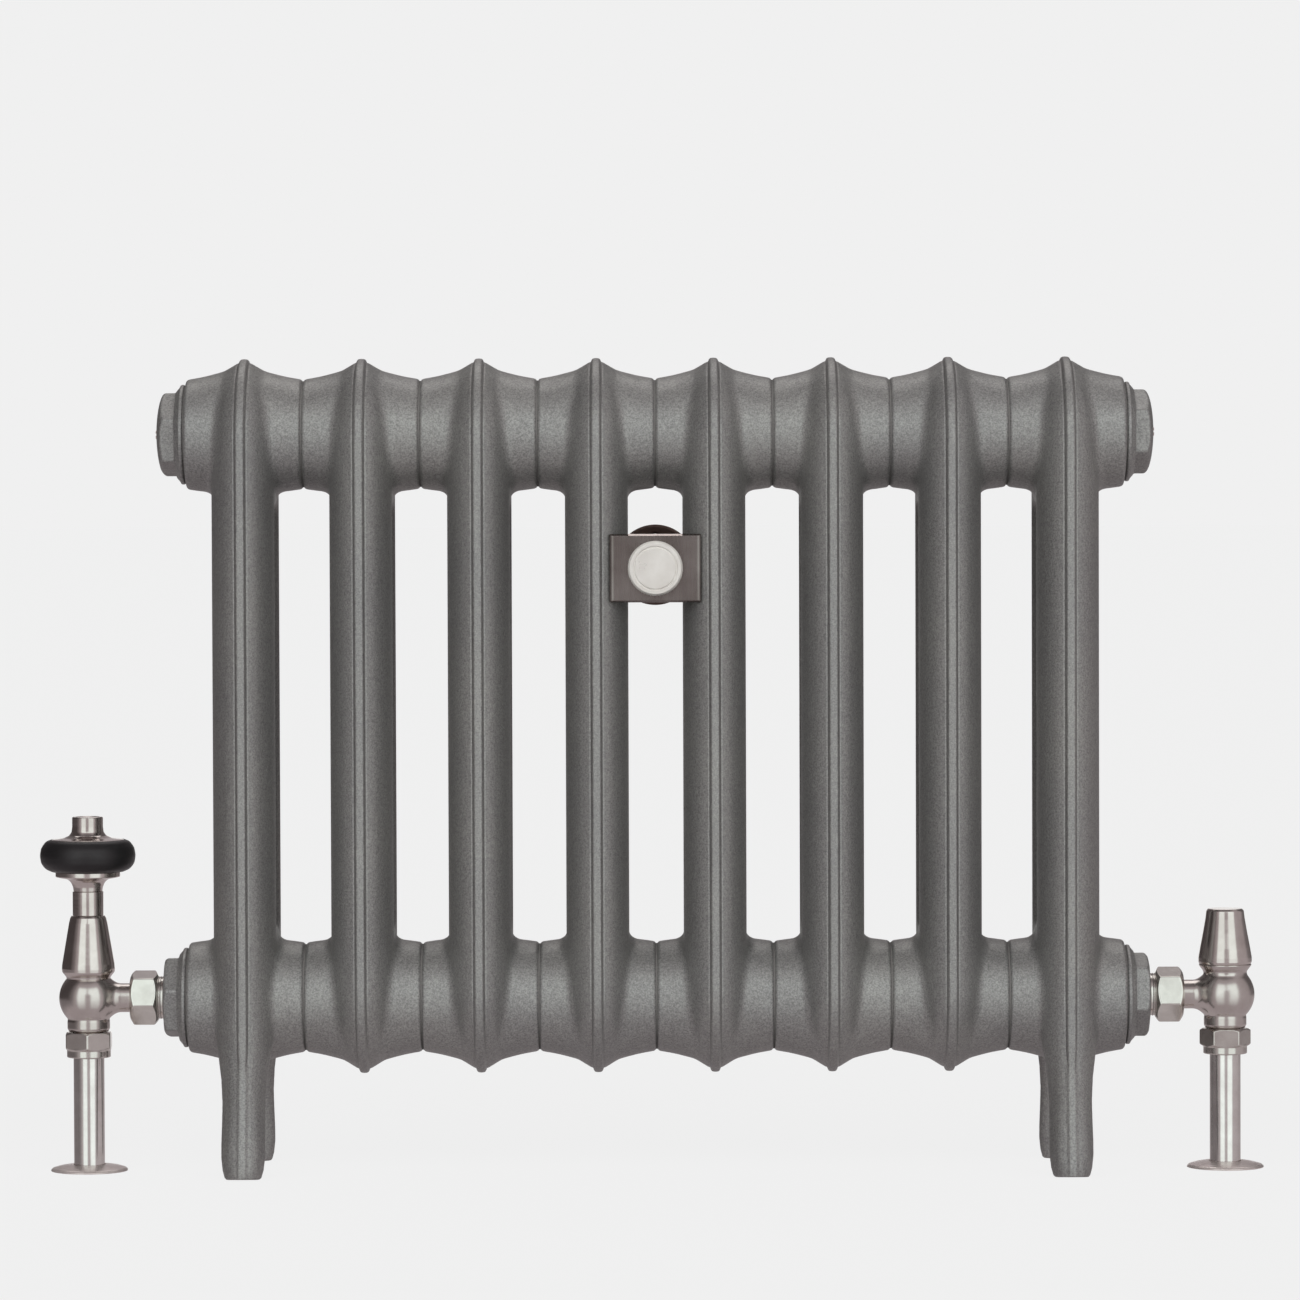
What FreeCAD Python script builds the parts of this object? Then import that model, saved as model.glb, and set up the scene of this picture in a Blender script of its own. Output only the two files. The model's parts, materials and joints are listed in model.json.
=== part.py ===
import FreeCAD, Part
import math
import os
import re

import Sketcher
from FreeCAD import Placement, Rotation, Vector

# Eight-section, two-column cast-iron radiator on four cast feet, with a
# thermostatic angle valve at the left, a lockshield angle valve at the right
# and a wall stay in the middle gap. Millimetres, +Z up, front towards -Y.
# The floor is Z = 0; org_x and org_y bring the origin under the middle of the
# whole assembly's box.

doc = FreeCAD.newDocument("radiator_with_valve")
sheet = doc.addObject("Spreadsheet::Sheet", "Dims")

DIMENSIONS = [
    # whole assembly
    ("org_x", 2.625, "shift of the radiator centre from the origin, X"),
    ("org_y", -25.55, "shift of the radiator centre from the origin, Y"),
    ("pitch", 66.5, "section pitch"),
    ("hub_low", 98.5, "height of the lower hub axis"),
    ("hub_high", 418.6, "height of the upper hub axis"),
    ("arch_high", 411.1, "height of the upper arch centre"),
    ("arch_low", 105.5, "height of the lower arch centre"),
    # section casting
    ("face_half", 32.85, "half width of a section over its machined faces"),
    ("hub_face", 29.6, "hub radius at the machined face"),
    ("hub_edge", 31.2, "hub radius behind the edge chamfer"),
    ("hub_edge_at", 31.4, "distance of the chamfer from the centre plane"),
    ("col_wide", 17.6, "half width of a column"),
    ("col_mid", 18.7, "depth at which a column is widest"),
    ("col_in", 6.5, "depth of a column's inner face"),
    ("col_out", 48.4, "depth of a column's outer edge"),
    ("col_nose", 18.8, "radius of a column's inner face"),
    ("col_flank", 54.6, "radius of a column's flank"),
    ("rib_half", 2.75, "half width of the rib bead"),
    ("rib_out", 50.2, "radius of the rib bead's outer face"),
    ("rib_in", 45.5, "radius of the rib bead's root"),
    ("wall_side", 4.4, "casting wall across the column"),
    ("way_in", 11.2, "depth of the waterway's inner side"),
    ("way_mid", 20.0, "depth at which the waterway is widest"),
    ("way_out", 41.5, "depth of the waterway's outer side"),
    ("way_wide", 13.2, "half width of the waterway"),
    ("way_tip", 3.2, "half width of the waterway's outer side"),
    ("chamber", 25.0, "radius of the hub chamber"),
    ("chamber_half", 12.6, "half length of the hub chamber"),
    ("tapping", 21.0, "radius of the tapped hub bore"),
    # nipples and gaskets
    ("nipple_rad", 20.9, "radius of a joining nipple"),
    ("nipple_bore", 16.6, "bore radius of a joining nipple"),
    ("nipple_len", 40.0, "length of a joining nipple"),
    ("gasket_rad", 30.1, "outer radius of a joint gasket"),
    ("gasket_bore", 22.4, "inner radius of a joint gasket"),
    ("gasket_thick", 0.8, "thickness of a joint gasket"),
    # plugs and bushes, measured outwards from the nominal end face
    ("end_face", 266.0, "distance of the nominal end face from the centre"),
    ("seal_rad", 26.8, "outer radius of an end seal"),
    ("flange_rad", 28.3, "radius of a plug flange"),
    ("flange_end", 5.2, "outer side of a plug flange"),
    ("hex_rad", 24.2, "corner radius of a plug hexagon"),
    ("hex_end", 13.6, "outer end of a plug hexagon"),
    ("dome_end", 16.6, "crown of a top plug's domed face"),
    ("plug_deep", 15.0, "length of a plug's thread inside the hub"),
    ("half_inch", 10.4, "radius of the half-inch tapping"),
    ("vent_rad", 4.0, "radius of an air vent body"),
    ("vent_recess", 4.1, "radius of the hole for the air vent"),
    ("bleed_rad", 2.4, "radius of a bleed screw"),
    ("bleed_hole", 2.45, "radius of the hole for a bleed screw"),
    # valves
    ("valve_x", 323.4, "distance of a valve axis from the centre"),
    ("ball_rad", 16.7, "radius of a valve body's ball"),
    ("arm_rad", 8.7, "radius of a valve body's arm"),
    ("pipe_rad", 7.5, "outer radius of the copper pipe"),
    ("pipe_bore", 6.8, "inner radius of the copper pipe"),
    ("pipe_top", 84.0, "height of the pipe's upper end"),
    ("neck_rad", 12.1, "radius of a valve body's lower neck"),
    ("sleeve_rad", 8.75, "outer radius of a pipe sleeve"),
    ("sleeve_bore", 7.8, "inner radius of a pipe sleeve"),
    ("sleeve_top", 64.5, "height of a pipe sleeve's upper end"),
    ("nut_low", 69.0, "lower side of the compression nut's hexagon"),
    ("nut_high", 79.2, "upper side of the compression nut's hexagon"),
    ("nut_corner", 14.65, "corner radius of the compression nut"),
    ("collar_rad", 12.45, "radius of the compression nut's collar"),
    ("collar_low", 64.7, "lower end of the compression nut's collar"),
    ("union_in", 17.2, "inner end of the union nut"),
    ("union_out", 33.4, "outer end of the union nut"),
    ("union_corner", 15.85, "corner radius of the union nut"),
    ("tail_rad", 12.2, "radius of the tail's threaded collar"),
    ("rosette_rad", 21.8, "radius of a floor rosette"),
    ("rosette_bore", 9.05, "bore radius of a floor rosette"),
    ("grip_rad", 27.1, "radius of the grip ring"),
    ("grip_low", 170.4, "underside of the grip ring"),
    ("grip_high", 189.0, "top of the grip ring"),
    ("finial_top", 201.7, "top of the finial"),
    ("pin_rad", 1.6, "radius of the valve pin"),
    ("cap_top", 147.2, "top of the lockshield cap"),
    ("cap_low", 115.8, "rim of the lockshield cap"),
    ("cap_rad", 15.2, "radius of the lockshield cap's rim"),
    # wall stay
    ("stay_z", 342.5, "height of the wall stay"),
    ("wall_y", 112.0, "distance of the wall from the radiator's middle"),
    ("plate_wide", 51.5, "width of the clamp plate"),
    ("plate_high", 38.5, "height of the clamp plate"),
    ("plate_thick", 2.5, "thickness of the clamp plate"),
    ("plate_y", 44.3, "depth of the clamp plate's rear face"),
    ("knob_rad", 15.15, "radius of the knob"),
    ("knob_len", 9.0, "length of the knob"),
    ("rod_rad", 4.0, "radius of the stay rod"),
    ("wall_flange", 23.6, "radius of the wall flange"),
    ("screw_pcd", 16.0, "radius of the wall screw circle"),
]
for number, (alias, value, note) in enumerate(DIMENSIONS, 1):
    sheet.set("A%d" % number, note)
    sheet.set("B%d" % number, str(value))
    sheet.setAlias("B%d" % number, alias)
doc.recompute()
SIZES = {alias: value for alias, value, _ in DIMENSIONS}

parts = []


def bound(text):
    """The text with each alias pointing at the sheet."""
    return re.sub(r"[a-z]+(?:_[a-z]+)*", lambda w: "Dims." + w.group(0) if w.group(0) in SIZES else w.group(0), text)


def value_of(item):
    """A number, or the value of an expression of sheet aliases."""
    if isinstance(item, (int, float)):
        return float(item)
    return float(sheet.evalExpression(bound(item)))


def drive(obj, prop, item):
    """Set a property and bind it to the sheet where it is an expression."""
    if isinstance(item, str):
        obj.setExpression(prop, bound(item))
    else:
        setattr(obj, prop, item)


def place(obj, base, rotation=None):
    """Place an object at expressions of the sheet, past the origin shift."""
    rotation = rotation or Rotation()
    at = Vector(*[value_of(item) for item in base])
    obj.Placement = Placement(at, rotation)
    for axis, item in zip("xyz", base):
        if isinstance(item, str):
            obj.setExpression("Placement.Base." + axis, bound(item))


def world(x, y, z):
    """A point of the radiator's own frame as expressions past the shift."""
    return ("org_x + (%s)" % x, "org_y + (%s)" % y, "0 + (%s)" % z)


def keep(obj, label):
    obj.Label = label
    parts.append(obj)
    return obj


def plane(body, role):
    return next(f for f in body.Origin.OriginFeatures if f.Role == role)


def new_body(name):
    return doc.addObject("PartDesign::Body", name)


def new_sketch(body, name, role, offset=None, turn=None):
    sk = body.newObject("Sketcher::SketchObject", name)
    sk.AttachmentSupport = [(plane(body, role), "")]
    sk.MapMode = "FlatFace"
    if offset is not None or turn is not None:
        sk.AttachmentOffset = Placement(Vector(0, 0, value_of(offset or 0)), turn or Rotation())
        if isinstance(offset, str):
            sk.setExpression("AttachmentOffset.Base.z", bound(offset))
    return sk


def fix_point(sk, geo, pos, x, y):
    """Hold a vertex at x and y, each a number or a sheet expression."""
    for kind, item, axis in (("DistanceX", x, -2), ("DistanceY", y, -1)):
        number = value_of(item)
        if isinstance(item, (int, float)) and abs(number) < 1e-9:
            sk.addConstraint(Sketcher.Constraint("PointOnObject", geo, pos, axis))
            continue
        index = sk.addConstraint(Sketcher.Constraint(kind, -1, 1, geo, pos, number))
        if isinstance(item, str):
            sk.setExpression("Constraints[%d]" % index, bound(item))


def outline(sk, points):
    """A closed outline. A third item on a vertex is the radius of the arc to
    the next vertex, positive where it bulges to the right of the way round."""
    numbers = [(value_of(p[0]), value_of(p[1])) for p in points]
    total = len(points)
    first = sk.GeometryCount
    ends = []
    for i, p in enumerate(points):
        a, b = numbers[i], numbers[(i + 1) % total]
        if len(p) > 2:
            rad = value_of(p[2])
            mid = ((a[0] + b[0]) / 2, (a[1] + b[1]) / 2)
            chord = math.hypot(b[0] - a[0], b[1] - a[1])
            sag = abs(rad) - math.sqrt(max(rad * rad - chord * chord / 4, 0))
            side = 1 if rad > 0 else -1
            nx, ny = (b[1] - a[1]) / chord * side, -(b[0] - a[0]) / chord * side
            via = Vector(mid[0] + nx * sag, mid[1] + ny * sag, 0)
            geo = sk.addGeometry(Part.Arc(Vector(a[0], a[1], 0), via, Vector(b[0], b[1], 0)), False)
            at = sk.getPoint(geo, 1)
            start = 1 if math.hypot(at.x - a[0], at.y - a[1]) < 1e-6 else 2
            ends.append((geo, start, 3 - start, p[2]))
        else:
            geo = sk.addGeometry(Part.LineSegment(Vector(a[0], a[1], 0), Vector(b[0], b[1], 0)), False)
            ends.append((geo, 1, 2, None))
    for i in range(total):
        here, after = ends[i], ends[(i + 1) % total]
        sk.addConstraint(Sketcher.Constraint("Coincident", here[0], here[2], after[0], after[1]))
    for (geo, start, _, rad), p in zip(ends, points):
        fix_point(sk, geo, start, p[0], p[1])
        if rad is not None:
            index = sk.addConstraint(Sketcher.Constraint("Radius", geo, abs(value_of(rad))))
            if isinstance(rad, str):
                sk.setExpression("Constraints[%d]" % index, bound("abs(%s)" % rad))
    return first


def circle(sk, rad, x=0, y=0):
    geo = sk.addGeometry(Part.Circle(Vector(value_of(x), value_of(y), 0), Vector(0, 0, 1), value_of(rad)), False)
    index = sk.addConstraint(Sketcher.Constraint("Radius", geo, value_of(rad)))
    if isinstance(rad, str):
        sk.setExpression("Constraints[%d]" % index, bound(rad))
    fix_point(sk, geo, 3, x, y)
    return geo


def turn(body, sk, name, cut=False):
    """Revolve a sketch of the XZ plane about its vertical axis."""
    feat = body.newObject("PartDesign::Groove" if cut else "PartDesign::Revolution", name)
    feat.Profile = sk
    feat.ReferenceAxis = (sk, ["V_Axis"])
    feat.Angle = 360.0
    body.Tip = feat
    return feat


def lathe(label, points, base, rotation=None):
    """A turned piece: its (radius, height) outline revolved about its axis."""
    body = new_body(label + "_body")
    sk = new_sketch(body, label + "_profile", "XZ_Plane")
    outline(sk, points)
    turn(body, sk, label + "_turn")
    place(body, base, rotation)
    return keep(body, label)


def cylinder(name, rad, length, base, rotation=None):
    obj = doc.addObject("Part::Cylinder", name)
    drive(obj, "Radius", rad)
    drive(obj, "Height", length)
    place(obj, base, rotation)
    return obj


def hexagon(name, corner, length, base, rotation=None):
    obj = doc.addObject("Part::Prism", name)
    obj.Polygon = 6
    drive(obj, "Circumradius", corner)
    drive(obj, "Height", length)
    place(obj, base, rotation)
    return obj


def fuse(name, shapes):
    obj = doc.addObject("Part::MultiFuse", name)
    obj.Shapes = shapes
    obj.Refine = True
    return obj


def cut(name, base, tool):
    obj = doc.addObject("Part::Cut", name)
    obj.Base = base
    obj.Tool = tool
    return obj


def common(name, shapes):
    obj = doc.addObject("Part::MultiCommon", name)
    obj.Shapes = shapes
    return obj


def group(label, shapes):
    obj = doc.addObject("Part::Compound", label + "_set")
    obj.Links = shapes
    return keep(obj, label)


def revolved(name, points, base, rotation=None):
    """A turned tool or blank that isn't a piece of its own."""
    body = new_body(name)
    sk = new_sketch(body, name + "_profile", "XZ_Plane")
    outline(sk, points)
    turn(body, sk, name + "_turn")
    place(body, base, rotation)
    return body


# Outward directions: a piece's own +Z points away from the radiator's end.
OUT = {"left": Rotation(Vector(0, 0, 1), Vector(-1, 0, 0)), "right": Rotation(Vector(0, 0, 1), Vector(1, 0, 0))}
SIGN = {"left": "-", "right": ""}

# ---------------------------------------------------------------- sections


def teardrop(sk, sign):
    """A column's cross-section: blunt inside, tapering out to the rib."""
    s = "" if sign > 0 else "-"
    bulge = "-" if sign > 0 else ""
    outline(
        sk,
        [
            ("col_wide", s + "col_mid", bulge + "col_nose"),
            ("-col_wide", s + "col_mid", bulge + "col_flank"),
            ("-rib_half", s + "col_out"),
            ("rib_half", s + "col_out", bulge + "col_flank"),
        ],
    )


def waterway(sk, sign):
    s = "" if sign > 0 else "-"
    bulge = "-" if sign > 0 else ""
    outline(
        sk,
        [
            ("way_wide", s + "way_mid", bulge + "14.4"),
            ("-way_wide", s + "way_mid", bulge + "60"),
            ("-way_tip", s + "way_out"),
            ("way_tip", s + "way_out", bulge + "60"),
        ],
    )


def revolve_about_x(body, sk, name, angle=360.0, cut_it=False):
    feat = body.newObject("PartDesign::Groove" if cut_it else "PartDesign::Revolution", name)
    feat.Profile = sk
    feat.ReferenceAxis = (sk, ["H_Axis"])
    feat.Angle = angle
    body.Tip = feat
    return feat


def hub_sketch(body, name, height, points):
    """A sketch of the XZ plane whose own horizontal axis is a hub axis."""
    sk = new_sketch(body, name, "XZ_Plane")
    sk.AttachmentOffset = Placement(Vector(0, value_of(height), 0), Rotation())
    sk.setExpression("AttachmentOffset.Base.y", bound(height))
    outline(sk, points)
    return sk


BELL = [
    ("-face_half", 0),
    ("-face_half", "hub_face"),
    ("-hub_edge_at", "hub_edge"),
    (-24.0, "hub_edge + 1.1"),
    (-17.0, "hub_edge + 2.6"),
    (-13.8, "hub_edge + 4.6"),
    (-8.0, "hub_edge + 6.8"),
    (-4.6, "hub_edge + 8.6"),
    (4.6, "hub_edge + 8.6"),
    (8.0, "hub_edge + 6.8"),
    (13.8, "hub_edge + 4.6"),
    (17.0, "hub_edge + 2.6"),
    (24.0, "hub_edge + 1.1"),
    ("hub_edge_at", "hub_edge"),
    ("face_half", "hub_face"),
    ("face_half", 0),
]
HUB_BORE = [
    (-36.0, 0),
    (-36.0, "tapping"),
    ("-chamber_half", "tapping"),
    ("-chamber_half", "chamber"),
    ("chamber_half", "chamber"),
    ("chamber_half", "tapping"),
    (36.0, "tapping"),
    (36.0, 0),
]


def foot_ring(half_x, near, far, bevel):
    """A foot's outline at one height, with bevelled corners."""
    return [
        (-half_x + bevel, near),
        (half_x - bevel, near),
        (half_x, near + bevel),
        (half_x, far - bevel),
        (half_x - bevel, far),
        (-half_x + bevel, far),
        (-half_x, far - bevel),
        (-half_x, near + bevel),
    ]


# (height, half width, inner depth, outer depth, corner bevel) of a foot
FOOT = [
    (84.0, 13.6, 17.0, 46.6, 3.4),
    (64.0, 13.7, 24.0, 49.0, 3.4),
    (42.0, 12.1, 30.0, 52.9, 3.2),
    (20.0, 12.5, 36.6, 58.6, 3.4),
    (6.0, 11.8, 40.0, 60.9, 3.0),
    (0.0, 10.0, 42.0, 60.4, 2.6),
]


def casting(name, feet):
    """One hollow section: arches, two columns, hubs, rib and, on an end
    section, a foot under each column."""
    body = new_body(name + "_body")
    for which, height in (("top", "arch_high"), ("bottom", "arch_low")):
        sk = new_sketch(body, "%s_%s_arch" % (name, which), "XY_Plane", height)
        teardrop(sk, -1)
        feat = revolve_about_x(body, sk, "%s_%s_bend" % (name, which), 180.0)
        feat.Reversed = which == "top"
        if which == "top":
            cols = new_sketch(body, name + "_columns", "XY_Plane", "arch_low")
            teardrop(cols, -1)
            teardrop(cols, 1)
            pad = body.newObject("PartDesign::Pad", name + "_column_pad")
            pad.Profile = cols
            drive(pad, "Length", "arch_high - arch_low")
            body.Tip = pad
    for which, height in (("top", "hub_high"), ("bottom", "hub_low")):
        sk = hub_sketch(body, "%s_%s_bell" % (name, which), height, BELL)
        revolve_about_x(body, sk, "%s_%s_hub" % (name, which))
    if feet:
        for sign in (-1, 1):
            rings = []
            for k, (z, half_x, near, far, bevel) in enumerate(FOOT):
                sk = new_sketch(body, "%s_foot_%d_%d" % (name, sign + 1, k), "XY_Plane", z)
                ring = foot_ring(half_x, near, far, bevel)
                outline(sk, [(x, sign * y) for x, y in ring])
                rings.append(sk)
            loft = body.newObject("PartDesign::AdditiveLoft", "%s_foot_%d" % (name, sign + 1))
            loft.Profile = rings[0]
            loft.Sections = rings[1:]
            loft.Ruled = False
            body.Tip = loft
    sk = new_sketch(body, name + "_rib_line", "YZ_Plane")
    for rad in ("rib_out", "rib_in"):
        outline(
            sk,
            [
                (rad, "arch_low"),
                (rad, "arch_high", rad),
                (0, "arch_high + " + rad, rad),
                ("-" + rad, "arch_high"),
                ("-" + rad, "arch_low", rad),
                (0, "arch_low - " + rad, rad),
            ],
        )
    rib = body.newObject("PartDesign::Pad", name + "_rib")
    rib.Profile = sk
    drive(rib, "Length", "rib_half * 2")
    rib.SideType = "Symmetric"
    body.Tip = rib
    sk = new_sketch(body, name + "_waterways", "XY_Plane", "hub_low")
    waterway(sk, -1)
    waterway(sk, 1)
    way = body.newObject("PartDesign::Pocket", name + "_waterway_cut")
    way.Profile = sk
    way.Reversed = True
    drive(way, "Length", "hub_high - hub_low")
    body.Tip = way
    for which, height in (("top", "hub_high"), ("bottom", "hub_low")):
        sk = hub_sketch(body, "%s_%s_bore" % (name, which), height, HUB_BORE)
        revolve_about_x(body, sk, "%s_%s_tapping" % (name, which), cut_it=True)
    return body


end_left = casting("end_section_left", True)
place(end_left, world("-3.5 * pitch", "0", "0"))
keep(end_left, "end_section_left")
middle = casting("section_2", False)
place(middle, world("-2.5 * pitch", "0", "0"))
keep(middle, "section_2")
for index in range(3, 8):
    copy = casting("section_%d" % index, False)
    place(copy, world("%.1f * pitch" % (index - 4.5), "0", "0"))
    keep(copy, "section_%d" % index)
end_right = casting("end_section_right", True)
place(end_right, world("3.5 * pitch", "0", "0"))
keep(end_right, "end_section_right")

# ------------------------------------------------- nipples, gaskets, seals


def ring(name, rad, bore, length, base, rotation):
    outer = cylinder(name + "_outer", rad, length, base, rotation)
    inner = cylinder(name + "_bore", bore, length, base, rotation)
    return cut(name, outer, inner)


ALONG_X = Rotation(Vector(0, 0, 1), Vector(1, 0, 0))
for which, height in (("top", "hub_high"), ("bottom", "hub_low")):
    for label, rad, bore, length in (
        ("nipples", "nipple_rad", "nipple_bore", "nipple_len"),
        ("joint_gaskets", "gasket_rad", "gasket_bore", "gasket_thick"),
    ):
        rings = []
        for k in range(7):
            start = "%d * pitch - %s / 2" % (k - 3, length)
            rings.append(ring("%s_%s_%d" % (label, which, k + 1), rad, bore, length, world(start, "0", height), ALONG_X))
        group("%s_%s" % (label, which), rings)

for which, height in (("top", "hub_high"), ("bottom", "hub_low")):
    seals = []
    for side in ("left", "right"):
        base = world("%s(end_face - 0.4)" % SIGN[side], "0", height)
        seals.append(ring("seal_%s_%s" % (which, side), "seal_rad", "gasket_bore - 0.9", "gasket_thick", base, OUT[side]))
    group("end_seals_" + which, seals)

# ------------------------------------------------------ plugs and bushes


def hex_with_flange(label, side, height, clock, bore, domed):
    """A hexagon-headed plug or bush: thread, rounded flange, hexagon."""
    base = world("%send_face" % SIGN[side], "0", height)
    out = OUT[side]
    twist = out.multiply(Rotation(Vector(0, 0, 1), clock))
    shank = revolved(
        label + "_shank",
        [
            (0, "-plug_deep"),
            ("tapping - 0.9", "-plug_deep"),
            ("tapping - 0.1", "-plug_deep + 0.8"),
            ("tapping - 0.1", 0.4),
            ("flange_rad - 0.6", 0.4),
            ("flange_rad", 1.4),
            ("flange_rad", "flange_end - 2.4"),
            ("flange_rad - 0.8", "flange_end - 1.0"),
            ("flange_rad - 2.8", "flange_end"),
            (0, "flange_end"),
        ],
        base,
        out,
    )
    head = hexagon(label + "_hexagon", "hex_rad", "dome_end - flange_end + 1" if domed else "hex_end - flange_end + 0.5", world("%s(end_face + flange_end - 0.5)" % SIGN[side], "0", height), twist)
    if domed:
        crown = [
            (0, "flange_end - 0.5"),
            ("hex_rad + 1", "flange_end - 0.5"),
            ("hex_rad + 1", "hex_end - 2.2"),
            (21.6, "hex_end + 0.2"),
            (16.0, "dome_end - 1.3"),
            (8.0, "dome_end - 0.2"),
            (0, "dome_end"),
        ]
    else:
        crown = [
            (0, "flange_end - 0.5"),
            ("hex_rad + 1", "flange_end - 0.5"),
            ("hex_rad + 1", "hex_end - 2.0"),
            ("hex_rad - 3.0", "hex_end"),
            (0, "hex_end"),
        ]
    trim = revolved(label + "_crown", crown, base, out)
    trimmed = common(label + "_head", [head, trim])
    blank = fuse(label + "_blank", [shank, trimmed])
    hole = cylinder(label + "_hole", bore, 60.0, world("%s(end_face - 30)" % SIGN[side], "0", height), out)
    return keep(cut(label + "_cut", blank, hole), label)


hex_with_flange("top_plug_left", "left", "hub_high", 50.0, "vent_recess", True)
hex_with_flange("top_plug_right", "right", "hub_high", 0.0, "vent_recess", True)
hex_with_flange("bottom_bush_left", "left", "hub_low", 43.0, "half_inch", False)
hex_with_flange("bottom_bush_right", "right", "hub_low", -13.0, "half_inch", False)

for side in ("left", "right"):
    # the vent body is pressed into the plug, its face sunk below the crown
    lathe(
        "air_vent_" + side,
        [
            ("bleed_hole", -12.0),
            ("vent_rad", -12.0),
            ("vent_rad", "dome_end - 2.0"),
            ("bleed_hole", "dome_end - 2.0"),
        ],
        world("%send_face" % SIGN[side], "0", "hub_high"),
        OUT[side],
    )
    screw = cylinder("bleed_blank_" + side, "bleed_rad", 16.0, world("%s(end_face + dome_end - 15.3)" % SIGN[side], "0", "hub_high"), OUT[side])
    slot = doc.addObject("Part::Box", "bleed_slot_" + side)
    slot.Length, slot.Width, slot.Height = 0.8, 8.0, 1.2
    place(slot, world("%s(end_face + dome_end + 0.7)" % SIGN[side] + " - 0.4", "-4.0", "hub_high - 0.6"))
    keep(cut("bleed_cut_" + side, screw, slot), "bleed_screw_" + side)

# ------------------------------------------------------------- unions

for side, prefix in (("left", "trv"), ("right", "lockshield")):
    sign = SIGN[side]
    face = world(sign + "end_face", "0", "hub_low")
    # tail: half-inch thread in the bush, collar thread under the union nut
    lathe(
        prefix + "_tail",
        [
            (7.0, -4.0),
            ("half_inch - 0.1", -4.0),
            ("half_inch - 0.1", "hex_end"),
            ("tail_rad", "hex_end"),
            ("tail_rad", 26.0),
            (7.0, 26.0),
        ],
        face,
        OUT[side],
    )
    twist = OUT[side].multiply(Rotation(Vector(0, 0, 1), 17.0 if side == "left" else -13.0))
    bar = hexagon(prefix + "_union_bar", "union_corner", "union_out - union_in", world("%s(end_face + union_in)" % sign, "0", "hub_low"), twist)
    trim = revolved(
        prefix + "_union_trim",
        [
            (0, "union_in"),
            ("union_corner - 2.6", "union_in"),
            ("union_corner + 0.2", "union_in + 2.4"),
            ("union_corner + 0.2", "union_out - 2.4"),
            ("union_corner - 2.6", "union_out"),
            (0, "union_out"),
        ],
        face,
        OUT[side],
    )
    bore = revolved(
        prefix + "_union_bore",
        [
            (0, 10.0),
            ("tail_rad + 0.1", 10.0),
            ("tail_rad + 0.1", 30.3),
            ("arm_rad + 0.1", 30.3),
            ("arm_rad + 0.1", 40.0),
            (0, 40.0),
        ],
        face,
        OUT[side],
    )
    keep(cut(prefix + "_union_cut", common(prefix + "_union_head", [bar, trim]), bore), prefix + "_union_nut")

# ------------------------------------------------------- valve bodies


def valve_body(side, prefix, top_points, crown):
    """Ball, lower neck with its male thread, side arm with its flange, and
    the seat for the headwork, bored through."""
    sign = SIGN[side]
    at = world(sign + "valve_x", "0", "hub_low")
    base = world(sign + "valve_x", "0", "0")
    ball = doc.addObject("Part::Sphere", prefix + "_ball")
    drive(ball, "Radius", "ball_rad")
    place(ball, at)
    neck = revolved(
        prefix + "_neck",
        [
            (0, 70.0),
            (10.4, 70.0),
            (10.4, "nut_high + 0.2"),
            ("neck_rad - 1.0", "nut_high + 0.2"),
            ("neck_rad", "nut_high + 2.2"),
            ("neck_rad", 90.0),
            (0, 90.0),
        ],
        base,
    )
    arm = revolved(
        prefix + "_arm",
        [
            (0, 26.2),
            ("tail_rad", 26.2),
            ("tail_rad", 30.1),
            ("arm_rad", 30.1),
            ("arm_rad", 50.0),
            (0, 50.0),
        ],
        world(sign + "end_face", "0", "hub_low"),
        OUT[side],
    )
    top = revolved(prefix + "_top", top_points, base)
    blank = fuse(prefix + "_blank", [ball, neck, arm, top])
    inlet = revolved(
        prefix + "_inlet",
        [
            (0, 60.0),
            ("pipe_rad + 0.1", 60.0),
            ("pipe_rad + 0.1", "pipe_top + 0.2"),
            (5.0, "pipe_top + 0.2"),
            (5.0, 91.5),
            (8.5, 91.5),
            (8.5, 104.5),
            (9.0, 104.5),
            (9.0, crown),
            (20.0, crown),
            (20.0, 130.0),
            (0, 130.0),
        ],
        base,
    )
    outlet = cylinder(prefix + "_outlet", 5.4, 40.0, world("%s(end_face + 20)" % sign, "0", "hub_low"), OUT[side])
    return keep(cut(prefix + "_bored", cut(prefix + "_half_bored", blank, inlet), outlet), prefix + "_valve_body")


valve_body(
    "left",
    "trv",
    [(0, 100.0), (12.3, 100.0), (12.3, 109.6), (0, 109.6)],
    108.9,
)
valve_body(
    "right",
    "lockshield",
    [(0, 100.0), (12.3, 100.0), (12.3, 111.4), (14.9, 115.2), (14.9, 116.0), (0, 116.0)],
    115.2,
)

# ------------------------- compression joints, pipes, sleeves, rosettes

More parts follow.
